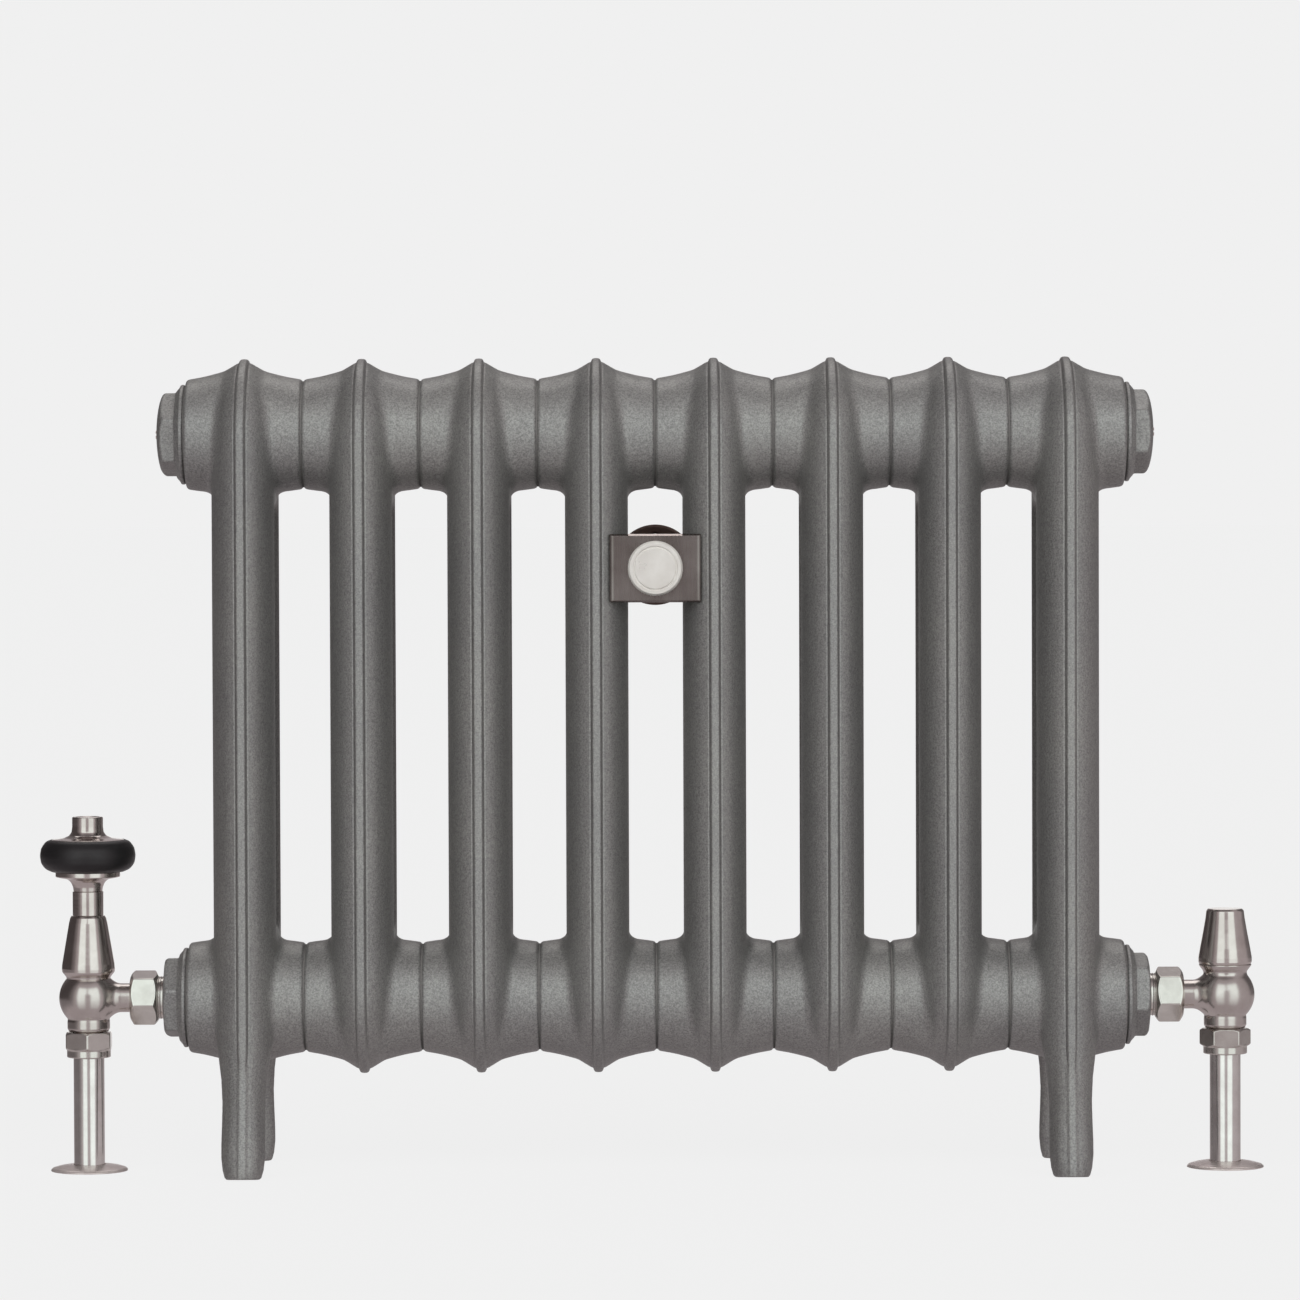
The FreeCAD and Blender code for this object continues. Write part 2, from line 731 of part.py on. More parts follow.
olives = []
for side, prefix, clock in (("left", "trv", 31.5), ("right", "lockshield", -2.0)):
    sign = SIGN[side]
    base = world(sign + "valve_x", "0", "0")
    bar = hexagon(prefix + "_nut_bar", "nut_corner", "nut_high - nut_low", world(sign + "valve_x", "0", "nut_low"), Rotation(Vector(0, 0, 1), clock))
    trim = revolved(
        prefix + "_nut_trim",
        [
            (0, "nut_low"),
            ("nut_corner - 1.6", "nut_low"),
            ("nut_corner + 0.2", "nut_low + 1.2"),
            ("nut_corner + 0.2", "nut_high - 1.2"),
            ("nut_corner - 1.6", "nut_high"),
            (0, "nut_high"),
        ],
        base,
    )
    collar = cylinder(prefix + "_nut_collar", "collar_rad", "nut_low - collar_low + 0.5", world(sign + "valve_x", "0", "collar_low"))
    bore = revolved(
        prefix + "_nut_bore",
        [
            (0, 60.0),
            ("pipe_rad + 0.1", 60.0),
            ("pipe_rad + 0.1", 66.5),
            (9.3, 67.4),
            (10.5, 69.9),
            (10.5, 90.0),
            (0, 90.0),
        ],
        base,
    )
    keep(cut(prefix + "_nut_cut", fuse(prefix + "_nut_blank", [common(prefix + "_nut_head", [bar, trim]), collar]), bore), prefix + "_compression_nut")
    olives.append(
        revolved(
            prefix + "_olive",
            [("pipe_rad", 67.2), (8.2, 67.2), (8.9, 68.2), (8.9, 68.8), (8.2, 69.8), ("pipe_rad", 69.8)],
            base,
        )
    )
    lathe(
        "copper_pipe_" + side,
        [("pipe_bore", 0), ("pipe_rad", 0), ("pipe_rad", "pipe_top"), ("pipe_bore", "pipe_top")],
        base,
    )
    lathe(
        "pipe_sleeve_" + side,
        [("sleeve_bore", 1.0), ("sleeve_rad", 1.0), ("sleeve_rad", "sleeve_top"), ("sleeve_bore", "sleeve_top")],
        base,
    )
    lathe(
        "floor_rosette_" + side,
        [
            ("rosette_bore", 0),
            ("rosette_rad", 0),
            ("rosette_rad", 0.8),
            ("rosette_rad - 1.0", 1.6),
            ("rosette_rad - 4.5", 2.6),
            ("rosette_bore + 4.0", 3.3),
            ("rosette_bore + 1.4", 3.6),
            ("rosette_bore", 3.6),
        ],
        base,
    )
group("compression_olives", olives)

# ------------------------------------------- thermostatic valve headwork

trv = world("-valve_x", "0", "0")
# insert: seals the chamber and guides the pin
lathe(
    "trv_insert",
    [
        ("pin_rad + 0.05", 104.6),
        (8.9, 104.6),
        (8.9, 112.0),
        (6.5, 112.0),
        (6.5, 121.0),
        (5.4, 122.0),
        (3.6, 122.0),
        (3.6, 110.0),
        ("pin_rad + 0.05", 110.0),
    ],
    trv,
)
# bonnet: the tapering shell over the insert
lathe(
    "trv_bonnet",
    [
        (9.0, 109.0),
        (12.2, 109.0),
        (12.5, 110.4),
        (14.95, 113.6),
        (15.05, 115.4),
        (14.8, 118.0),
        (10.2, 143.6),
        (9.6, 145.4),
        (4.2, 145.4),
        (4.2, 141.8),
        (7.2, 140.4),
        (10.6, 119.0),
        (9.0, 116.0),
    ],
    trv,
)
lathe(
    "trv_guide_sleeve",
    [("pin_rad + 0.5", 145.5), (8.75, 145.5), (8.75, 159.2), ("pin_rad + 0.5", 159.2)],
    trv,
)
# head: hub with its flared foot, grip ring, capsule, finial
lathe(
    "trv_head_hub",
    [
        ("pin_rad + 0.6", 159.6),
        (8.2, 159.6),
        (8.6, 161.6),
        (9.6, 164.2),
        (11.6, 166.2),
        (16.8, 167.2),
        (18.4, 168.0),
        (18.4, "grip_low"),
        ("pin_rad + 0.6", "grip_low"),
    ],
    trv,
)
lathe(
    "trv_grip_ring",
    [
        (17.4, "grip_low + 0.05"),
        (20.0, "grip_low + 0.05"),
        (23.4, "grip_low + 1.4"),
        (25.8, "grip_low + 4.2"),
        ("grip_rad", "grip_low + 7.8"),
        ("grip_rad", "grip_low + 10.6"),
        (25.9, "grip_low + 14.4"),
        (23.4, "grip_high - 1.4"),
        (21.0, "grip_high - 0.2"),
        (20.6, "grip_high - 1.1"),
        (4.1, "grip_high - 1.1"),
        (4.1, "grip_high - 3.0"),
        (17.4, "grip_high - 3.0"),
    ],
    trv,
)
lathe(
    "trv_sensor_capsule",
    [
        (2.2, "grip_low + 0.6"),
        (15.4, "grip_low + 0.6"),
        (15.4, "grip_high - 4.6"),
        (0, "grip_high - 4.6"),
        (0, "grip_low + 6.5"),
        (2.2, "grip_low + 6.5"),
    ],
    trv,
)
lathe(
    "trv_finial",
    [
        (0, "grip_high - 3.0"),
        (4.0, "grip_high - 3.0"),
        (4.0, "grip_high - 1.05"),
        (20.4, "grip_high - 1.05"),
        (20.4, "grip_high - 0.3"),
        (17.0, "grip_high + 0.1"),
        (12.5, "grip_high + 1.0"),
        (10.6, "grip_high + 2.0"),
        (9.3, "grip_high + 3.5"),
        (8.8, "grip_high + 5.0"),
        (8.8, "finial_top - 0.9"),
        (7.9, "finial_top"),
        (0, "finial_top"),
    ],
    trv,
)
# pin and disc move together, 1.2 mm either way
lathe(
    "trv_pin",
    [
        (0, 96.4),
        ("pin_rad", 96.4),
        ("pin_rad", 121.6),
        (3.2, 121.6),
        (3.2, 122.8),
        ("pin_rad", 122.8),
        ("pin_rad", 174.2),
        (0, 174.2),
    ],
    trv,
)
lathe(
    "trv_valve_disc",
    [(0, 93.0), (5.6, 93.0), (6.6, 93.9), (6.6, 95.4), (3.2, 96.4), (0, 96.4)],
    trv,
)
coil = doc.addObject("Part::Helix", "trv_spring_line")
coil.Pitch, coil.Height, coil.Radius = 1.9, 9.5, 2.85
place(coil, world("-valve_x", "0", "111.2"))
wire = doc.addObject("Part::Circle", "trv_spring_wire")
wire.Radius = 0.3
place(wire, world("-valve_x + 2.85", "0", "111.2"), Rotation(Vector(1, 0, 0), 90))
spring = doc.addObject("Part::Sweep", "trv_spring_sweep")
spring.Sections = [wire]
spring.Spine = (coil, ["Edge1"])
spring.Solid = True
spring.Frenet = True
keep(spring, "trv_return_spring")

# ------------------------------------------- lockshield valve headwork

lock = world("valve_x", "0", "0")
lathe(
    "lockshield_headwork",
    [
        (4.1, 104.6),
        (8.9, 104.6),
        (8.9, 115.3),
        (11.0, 115.3),
        (11.0, 119.5),
        (8.2, 120.5),
        (8.2, 131.0),
        (7.4, 132.0),
        (4.1, 132.0),
    ],
    lock,
)
stem = cylinder("lockshield_stem", 4.05, 25.6, world("valve_x", "0", "106.4"))
square = doc.addObject("Part::Box", "lockshield_square")
square.Length, square.Width, square.Height = 5.4, 5.4, 9.0
place(square, world("valve_x - 2.7", "-2.7", "131.5"))
socket = cylinder("lockshield_socket", 1.9, 6.4, world("valve_x", "0", "106.4"))
keep(cut("lockshield_spindle_cut", fuse("lockshield_spindle_blank", [stem, square]), socket), "lockshield_spindle")
lathe(
    "lockshield_plug",
    [(0, 92.0), (4.6, 92.0), (6.8, 93.4), (6.8, 95.2), (1.8, 96.2), (1.8, 108.0), (0, 108.0)],
    lock,
)
# cap: the ogee-sided cover that pulls off the headwork
lathe(
    "lockshield_cap",
    [
        (13.6, "cap_low"),
        ("cap_rad", "cap_low"),
        ("cap_rad", "cap_low + 4.2"),
        (14.2, "cap_low + 9.4"),
        (12.6, "cap_low + 18.0"),
        (11.3, "cap_low + 26.0"),
        (10.6, "cap_top - 0.9"),
        (9.8, "cap_top"),
        (0, "cap_top"),
        (0, "cap_top - 1.8"),
        (8.9, "cap_top - 1.8"),
        (9.6, "cap_low + 26.0"),
        (11.0, "cap_low + 18.0"),
        (12.4, "cap_low + 9.4"),
        (13.6, "cap_low + 4.2"),
    ],
    lock,
)

# ---------------------------------------------------------- wall stay

FRONT = Rotation(Vector(0, 0, 1), Vector(0, -1, 0))
# a turned piece of the stay: its own +Z points to the front
lathe(
    "stay_knob",
    [
        ("rod_rad + 0.05", "plate_y + plate_thick + 0.3"),
        ("knob_rad - 3.2", "plate_y + plate_thick + 0.3"),
        ("knob_rad - 0.4", "plate_y + plate_thick + 2.6"),
        ("knob_rad", "plate_y + plate_thick + 3.8"),
        ("knob_rad", "plate_y + plate_thick + knob_len - 1.2"),
        ("knob_rad - 1.2", "plate_y + plate_thick + knob_len"),
        (0, "plate_y + plate_thick + knob_len"),
        (0, "plate_y + plate_thick + knob_len - 2.4"),
        ("rod_rad + 0.05", "plate_y + plate_thick + knob_len - 2.4"),
    ],
    world("0", "0", "stay_z"),
    FRONT,
)
body = new_body("stay_clamp_plate_body")
sk = new_sketch(body, "stay_clamp_plate_bend", "XY_Plane")
# the plate's section seen from above: flat, its two ends bent back a little
outline(
    sk,
    [
        ("-plate_wide / 2 + 0.6", "-plate_y - plate_thick + 1.0"),
        ("-plate_wide / 2 + 2.6", "-plate_y - plate_thick"),
        ("plate_wide / 2 - 2.6", "-plate_y - plate_thick"),
        ("plate_wide / 2 - 0.6", "-plate_y - plate_thick + 1.0"),
        ("plate_wide / 2", "-plate_y - 0.1"),
        ("plate_wide / 2 - 1.2", "-plate_y"),
        ("-plate_wide / 2 + 1.2", "-plate_y"),
        ("-plate_wide / 2", "-plate_y - 0.1"),
    ],
)
pad = body.newObject("PartDesign::Pad", "stay_clamp_plate_pad")
pad.Profile = sk
drive(pad, "Length", "plate_high")
pad.SideType = "Symmetric"
body.Tip = pad
doc.recompute()
sk = new_sketch(body, "stay_clamp_plate_hole_line", "XZ_Plane")
circle(sk, "rod_rad + 0.3")
hole = body.newObject("PartDesign::Pocket", "stay_clamp_plate_hole")
hole.Profile = sk
hole.Type = "ThroughAll"
hole.SideType = "Symmetric"
body.Tip = hole
place(body, world("0", "0", "stay_z"))
keep(body, "stay_clamp_plate")

lathe(
    "stay_rod",
    [
        (0, "-wall_y + 2.0"),
        ("rod_rad", "-wall_y + 2.0"),
        ("rod_rad", "plate_y + plate_thick + 5.2"),
        ("rod_rad - 0.8", "plate_y + plate_thick + 6.0"),
        (0, "plate_y + plate_thick + 6.0"),
    ],
    world("0", "0", "stay_z"),
    FRONT,
)
blank = revolved(
    "stay_wall_flange_blank",
    [
        ("rod_rad", "-wall_y"),
        ("wall_flange", "-wall_y"),
        ("wall_flange", "-wall_y + 2.0"),
        ("wall_flange - 1.4", "-wall_y + 3.2"),
        (10.0, "-wall_y + 4.0"),
        (7.6, "-wall_y + 5.2"),
        (7.2, "-wall_y + 11.0"),
        (6.4, "-wall_y + 12.0"),
        ("rod_rad", "-wall_y + 12.0"),
    ],
    world("0", "0", "stay_z"),
    FRONT,
)
drills = []
for k in range(3):
    angle = 90 + 120 * k
    x = "screw_pcd * %.6f" % math.cos(math.radians(angle))
    z = "stay_z + screw_pcd * %.6f" % math.sin(math.radians(angle))
    drills.append(
        revolved(
            "stay_drill_%d" % (k + 1),
            [(0, -2.0), (2.25, -2.0), (2.25, 2.0), (4.3, 4.1), (4.3, 9.0), (0, 9.0)],
            world(x, "wall_y", z),
            FRONT,
        )
    )
keep(cut("stay_wall_flange_cut", blank, fuse("stay_drills", drills)), "stay_wall_flange")

# --------------------------------------------------------------- output

doc.recompute()
failed = []
for obj in doc.Objects:
    if any(state in ("Invalid", "Error") for state in obj.State):
        failed.append("%s: %s" % (obj.Name, obj.State))
for obj in parts:
    shape = obj.Shape
    if shape.isNull() or not shape.isValid() or not shape.Solids:
        failed.append("%s: shape is null, empty or not valid" % obj.Label)
if failed:
    raise RuntimeError("; ".join(failed))
os.makedirs("parts", exist_ok=True)
for obj in parts:
    obj.Shape.exportStep(os.path.join("parts", obj.Label + ".step"))
    box = obj.Shape.BoundBox
    print(
        "%-26s solids %d volume %9.1f box %7.1f %7.1f %6.1f .. %7.1f %7.1f %6.1f"
        % (obj.Label, len(obj.Shape.Solids), obj.Shape.Volume, box.XMin, box.YMin, box.ZMin, box.XMax, box.YMax, box.ZMax)
    )
print(len(parts), "nodes")
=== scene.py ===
import json
import math

import bpy
import numpy as np
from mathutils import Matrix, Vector


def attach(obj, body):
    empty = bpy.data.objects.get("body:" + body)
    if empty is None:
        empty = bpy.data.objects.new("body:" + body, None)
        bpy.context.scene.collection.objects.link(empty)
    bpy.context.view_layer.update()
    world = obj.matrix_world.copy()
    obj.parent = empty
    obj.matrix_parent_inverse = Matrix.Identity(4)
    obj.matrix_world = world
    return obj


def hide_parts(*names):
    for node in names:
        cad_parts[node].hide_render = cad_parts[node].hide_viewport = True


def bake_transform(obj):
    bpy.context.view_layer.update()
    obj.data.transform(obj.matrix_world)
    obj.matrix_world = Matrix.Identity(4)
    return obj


# Cast-iron column radiator with its two angle valves and wall stay.
# Shapes are worked out in millimetres about the radiator's own middle and
# written in metres in the frame of the CAD.

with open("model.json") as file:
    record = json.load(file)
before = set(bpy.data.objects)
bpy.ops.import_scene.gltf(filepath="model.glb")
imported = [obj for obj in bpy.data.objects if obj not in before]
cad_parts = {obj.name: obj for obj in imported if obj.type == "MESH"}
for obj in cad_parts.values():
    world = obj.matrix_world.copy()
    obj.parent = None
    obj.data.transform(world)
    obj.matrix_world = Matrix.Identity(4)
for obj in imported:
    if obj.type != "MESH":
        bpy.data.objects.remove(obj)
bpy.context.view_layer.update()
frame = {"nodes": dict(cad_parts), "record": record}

MM = 0.001
SHIFT = np.array([2.625, -25.55, 0.0])
PITCH = 66.5
HUB_Z = (98.5, 418.6)
ARCH_Z = (105.5, 411.1)
VALVE_X = 323.4
END_X = 266.0

# ---------------------------------------------------------------- meshes


def new_object(name, co, faces, material, body, replaces=(), sharp=None):
    """A mesh object from points in millimetres and a list or array of faces."""
    me = bpy.data.meshes.new(name)
    co = (np.asarray(co, float) + SHIFT) * MM
    if isinstance(faces, np.ndarray):
        count, sides = faces.shape
        me.vertices.add(len(co))
        me.vertices.foreach_set("co", co.ravel())
        me.loops.add(count * sides)
        me.loops.foreach_set("vertex_index", faces.ravel().astype(np.int32))
        me.polygons.add(count)
        me.polygons.foreach_set("loop_start", np.arange(count, dtype=np.int32) * sides)
        me.update(calc_edges=True)
    else:
        me.from_pydata([tuple(p) for p in co], [], faces)
        me.update()
    me.polygons.foreach_set("use_smooth", np.ones(len(me.polygons), bool))
    if sharp is not None:
        me.set_sharp_from_angle(angle=math.radians(sharp))
    me.materials.append(material)
    ob = bpy.data.objects.new(name, me)
    bpy.context.scene.collection.objects.link(ob)
    if body:
        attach(ob, body)
    if replaces:
        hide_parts(*replaces)
    return ob


# ----------------------------------------------------- distance functions


def smin(a, b, k):
    h = np.maximum(k - np.abs(a - b), 0) / k
    return np.minimum(a, b) - h * h * k / 4


def smax(a, b, k):
    return -smin(-a, -b, k)


def outline_distance(points, x, y):
    """Signed distance to a closed outline, negative inside."""
    d = np.full(np.broadcast(x, y).shape, 1e18)
    s = np.ones(d.shape)
    n = len(points)
    for i in range(n):
        ax, ay = points[i]
        bx, by = points[(i + 1) % n]
        ex, ey = bx - ax, by - ay
        wx, wy = x - ax, y - ay
        t = np.clip((wx * ex + wy * ey) / (ex * ex + ey * ey + 1e-18), 0, 1)
        dx, dy = wx - ex * t, wy - ey * t
        d = np.minimum(d, dx * dx + dy * dy)
        up, down, left = y >= ay, y < by, ex * wy > ey * wx
        s = np.where((up & down & left) | (~up & ~down & ~left), -s, s)
    return s * np.sqrt(d)


def smooth_line(points, n=6):
    """An open line through points, with n steps to each span."""
    p = np.array(points, float)
    p = np.vstack([2 * p[0] - p[1], p, 2 * p[-1] - p[-2]])
    out = []
    for i in range(1, len(p) - 2):
        a, b, c, d = p[i - 1 : i + 3]
        for t in np.arange(n) / n:
            out.append(0.5 * (2 * b + (c - a) * t + (2 * a - 5 * b + 4 * c - d) * t * t + (3 * b - a - 3 * c + d) * t**3))
    out.append(p[-2])
    return np.array(out)


class Table:
    """A symmetric 2-D distance function over (|u|, v), looked up bilinearly."""

    def __init__(self, half, u_max, v_min, v_max, step=0.4):
        half = np.asarray(half, float)
        whole = np.vstack([half, (half * [-1, 1])[::-1]])
        self.u = np.arange(0, u_max + step, step)
        self.v = np.arange(v_min, v_max + step, step)
        self.v_min, self.step = v_min, step
        u, v = np.meshgrid(self.u, self.v, indexing="ij")
        self.t = outline_distance(whole, u, v)

    def __call__(self, u, v):
        a = np.clip(np.abs(u) / self.step, 0, len(self.u) - 1.001)
        b = np.clip((v - self.v_min) / self.step, 0, len(self.v) - 1.001)
        i, j = a.astype(np.int32), b.astype(np.int32)
        a, b, t = a - i, b - j, self.t
        return (t[i, j] * (1 - a) + t[i + 1, j] * a) * (1 - b) + (t[i, j + 1] * (1 - a) + t[i + 1, j + 1] * a) * b


def grid(*spans):
    """Coordinates from (start, end, step) spans."""
    out = []
    for a, b, h in spans:
        out.extend(np.linspace(a, b, max(1, int(round((b - a) / h))), endpoint=False))
    out.append(spans[-1][1])
    return np.array(out)


def both_ways(*spans):
    p = grid(*spans)
    return np.concatenate([-p[:0:-1], p])


def skin(f, xs, ys, zs, rounds=2):
    """The zero surface of f, solid where f < 0, as points and quads: one
    point in each crossed cell, then drawn onto the surface."""
    field = f(xs[:, None, None], ys[None, :, None], zs[None, None, :])
    inside = field < 0
    nx, ny, nz = field.shape
    tally = np.zeros((nx - 1, ny - 1, nz - 1), np.int8)
    for i in (0, 1):
        for j in (0, 1):
            for k in (0, 1):
                tally += inside[i : nx - 1 + i, j : ny - 1 + j, k : nz - 1 + k]
    ci, cj, ck = np.nonzero((tally > 0) & (tally < 8))
    index = np.full(tally.shape, -1, np.int32)
    index[ci, cj, ck] = np.arange(len(ci))
    pos, hits = np.zeros((len(ci), 3)), np.zeros(len(ci))
    corners = [(i, j, k) for i in (0, 1) for j in (0, 1) for k in (0, 1)]
    for a in corners:
        for b in corners:
            if sum(a) < sum(b) and sum(abs(p - q) for p, q in zip(a, b)) == 1:
                fa = field[ci + a[0], cj + a[1], ck + a[2]]
                fb = field[ci + b[0], cj + b[1], ck + b[2]]
                hit = (fa < 0) != (fb < 0)
                t = np.where(hit, fa / np.where(hit, fa - fb, 1), 0)[:, None]
                pa = np.stack([xs[ci + a[0]], ys[cj + a[1]], zs[ck + a[2]]], 1)
                pb = np.stack([xs[ci + b[0]], ys[cj + b[1]], zs[ck + b[2]]], 1)
                pos += np.where(hit[:, None], pa + (pb - pa) * t, 0)
                hits += hit
    pos /= hits[:, None]
    quads = []
    for axis in range(3):
        solid = np.moveaxis(inside, axis, 0)
        ids = np.moveaxis(index, axis, 0)
        crossed = (solid[:-1] != solid[1:])[:, 1:-1, 1:-1]
        i, j, k = np.nonzero(crossed)
        j, k = j + 1, k + 1
        q = np.stack([ids[i, j - 1, k - 1], ids[i, j, k - 1], ids[i, j, k], ids[i, j - 1, k]], 1)
        flip = ~solid[i, j, k]
        if axis == 1:
            flip = ~flip
        q[flip] = q[flip][:, ::-1]
        quads.append(q)
    step = 0.02
    for _ in range(rounds):
        x, y, z = pos.T
        value = f(x, y, z)
        g = np.stack(
            [
                f(x + step, y, z) - f(x - step, y, z),
                f(x, y + step, z) - f(x, y - step, z),
                f(x, y, z + step) - f(x, y, z - step),
            ],
            1,
        ) / (2 * step)
        size = np.maximum((g * g).sum(1), 0.2)
        move = -value[:, None] * g / size[:, None]
        far = np.linalg.norm(move, axis=1)
        move *= np.minimum(1, 0.45 / np.maximum(far, 1e-9))[:, None]
        pos = pos + move
    return pos, np.vstack(quads)


# --------------------------------------------------------- turned pieces


def rounded(points, close=True):
    """(radius, height, fillet) corners to a line with real fillets and a
    short hold beside each, so that flats stay flat under smooth shading."""
    n = len(points)
    out = []
    for i, p in enumerate(points):
        rad = p[2] if len(p) > 2 else 0.0
        here = np.array(p[:2], float)
        if rad <= 0 or (not close and i in (0, n - 1)):
            out.append(here)
            continue
        a = np.array(points[i - 1][:2], float) - here
        b = np.array(points[(i + 1) % n][:2], float) - here
        la, lb = np.linalg.norm(a), np.linalg.norm(b)
        a, b = a / la, b / lb
        half = math.acos(max(-1, min(1, float(a @ b)))) / 2
        back = min(rad / math.tan(half), 0.46 * la, 0.46 * lb)
        rad = back * math.tan(half)
        mid = (a + b) / np.linalg.norm(a + b)
        centre = here + mid * (rad / math.sin(half))
        s, e = here + a * back - centre, here + b * back - centre
        turn = math.pi - 2 * half
        steps = max(2, int(math.ceil(math.degrees(turn) / 14)))
        hold = 0.12
        if la - back > 0.6:
            out.append(here + a * (back + hold))
        for k in range(steps + 1):
            t = k / steps
            w = math.sin((1 - t) * turn) / math.sin(turn) * s + math.sin(t * turn) / math.sin(turn) * e
            out.append(centre + w)
        if lb - back > 0.6:
            out.append(here + b * (back + hold))
    return np.array(out)


AXES = {
    "up": (np.array([1.0, 0, 0]), np.array([0, 1.0, 0]), np.array([0, 0, 1.0])),
    "left": (np.array([0, 0, 1.0]), np.array([0, 1.0, 0]), np.array([-1.0, 0, 0])),
    "right": (np.array([0, 1.0, 0]), np.array([0, 0, 1.0]), np.array([1.0, 0, 0])),
    "front": (np.array([1.0, 0, 0]), np.array([0, 0, 1.0]), np.array([0, -1.0, 0])),
    "back": (np.array([0, 0, 1.0]), np.array([1.0, 0, 0]), np.array([0, 1.0, 0])),
}


def turned(points, origin, way="up", segments=112):
    """Points and faces of a closed (radius, height) outline turned about an
    axis through origin."""
    prof = rounded(points)
    ex, ey, ez = AXES[way]
    origin = np.asarray(origin, float)
    area = 0.0
    for (r0, z0), (r1, z1) in zip(prof, np.roll(prof, -1, 0)):
        area += r0 * z1 - r1 * z0
    if area < 0:
        prof = prof[::-1]
    co, rows = [], []
    angle = np.arange(segments) * 2 * math.pi / segments
    ring = np.cos(angle)[:, None] * ex + np.sin(angle)[:, None] * ey
    for r, z in prof:
        if r < 1e-6:
            rows.append([len(co)] * segments)
            co.append(origin + ez * z)
        else:
            rows.append(list(range(len(co), len(co) + segments)))
            co.extend(origin + ez * z + ring * r)
    faces = []
    for a, b, (ra, _), (rb, _) in zip(rows, rows[1:] + rows[:1], prof, np.roll(prof, -1, 0)):
        if ra < 1e-6 and rb < 1e-6:
            continue
        for k in range(segments):
            m = (k + 1) % segments
            quad = [a[k], a[m], b[m], b[k]]
            if ra < 1e-6:
                quad = [a[k], b[m], b[k]]
            elif rb < 1e-6:
                quad = [a[k], a[m], b[k]]
            faces.append(tuple(quad))
    return np.array(co), faces


def lathe(name, points, origin, way, material, body, replaces=(), segments=112, sharp=50):
    co, faces = turned(points, origin, way, segments)
    return new_object(name, co, faces, material, body, replaces, sharp)


# -------------------------------------------------------------- materials


def material(name, colour, metallic=0.0, roughness=0.5, **sockets):
    m = bpy.data.materials.new(name)
    m.use_nodes = True
    m.diffuse_color = (*colour, 1)
    p = m.node_tree.nodes["Principled BSDF"]
    p.inputs["Base Color"].default_value = (*colour, 1)
    p.inputs["Metallic"].default_value = metallic
    p.inputs["Roughness"].default_value = roughness
    for k, v in sockets.items():
        p.inputs[k.replace("_", " ")].default_value = v
    return m


def node(m, kind, **props):
    n = m.node_tree.nodes.new(kind)
    for k, v in props.items():
        if k in n.inputs:
            n.inputs[k].default_value = v
        else:
            setattr(n, k, v)
    return n


def link(m, a, b):
    m.node_tree.links.new(a, b)


def shader(m):
    return m.node_tree.nodes["Principled BSDF"]


def srgb(r, g, b):
    def one(c):
        c /= 255
        return c / 12.92 if c <= 0.04045 else ((c + 0.055) / 1.055) ** 2.4

    return one(r), one(g), one(b)


def mixed(m, factor, low, high):
    """A colour between two, by a factor socket."""
    n = node(m, "ShaderNodeMix", data_type="RGBA")
    n.inputs[6].default_value = (*low, 1)
    n.inputs[7].default_value = (*high, 1)
    link(m, factor, n.inputs[0])
    return n.outputs[2]


def ranged(m, value, a, b, c, d):
    n = node(m, "ShaderNodeMapRange")
    n.inputs[1].default_value, n.inputs[2].default_value = a, b
    n.inputs[3].default_value, n.inputs[4].default_value = c, d
    link(m, value, n.inputs[0])
    return n.outputs[0]


def noise(m, scale, detail=2.0, rough=0.5, stretch=None):
    tc = node(m, "ShaderNodeTexCoord")
    where = tc.outputs["Object"]
    if stretch is not None:
        mp = node(m, "ShaderNodeMapping")
        mp.inputs["Scale"].default_value = stretch
        link(m, where, mp.inputs[0])
        where = mp.outputs[0]
    n = node(m, "ShaderNodeTexNoise")
    n.inputs["Scale"].default_value = scale
    n.inputs["Detail"].default_value = detail
    n.inputs["Roughness"].default_value = rough
    link(m, where, n.inputs["Vector"])
    return n.outputs["Fac"]


def bumped(m, height, strength, distance):
    n = node(m, "ShaderNodeBump")
    n.inputs["Strength"].default_value = strength
    n.inputs["Distance"].default_value = distance
    link(m, height, n.inputs["Height"])
    link(m, n.outputs[0], shader(m).inputs["Normal"])
    return n


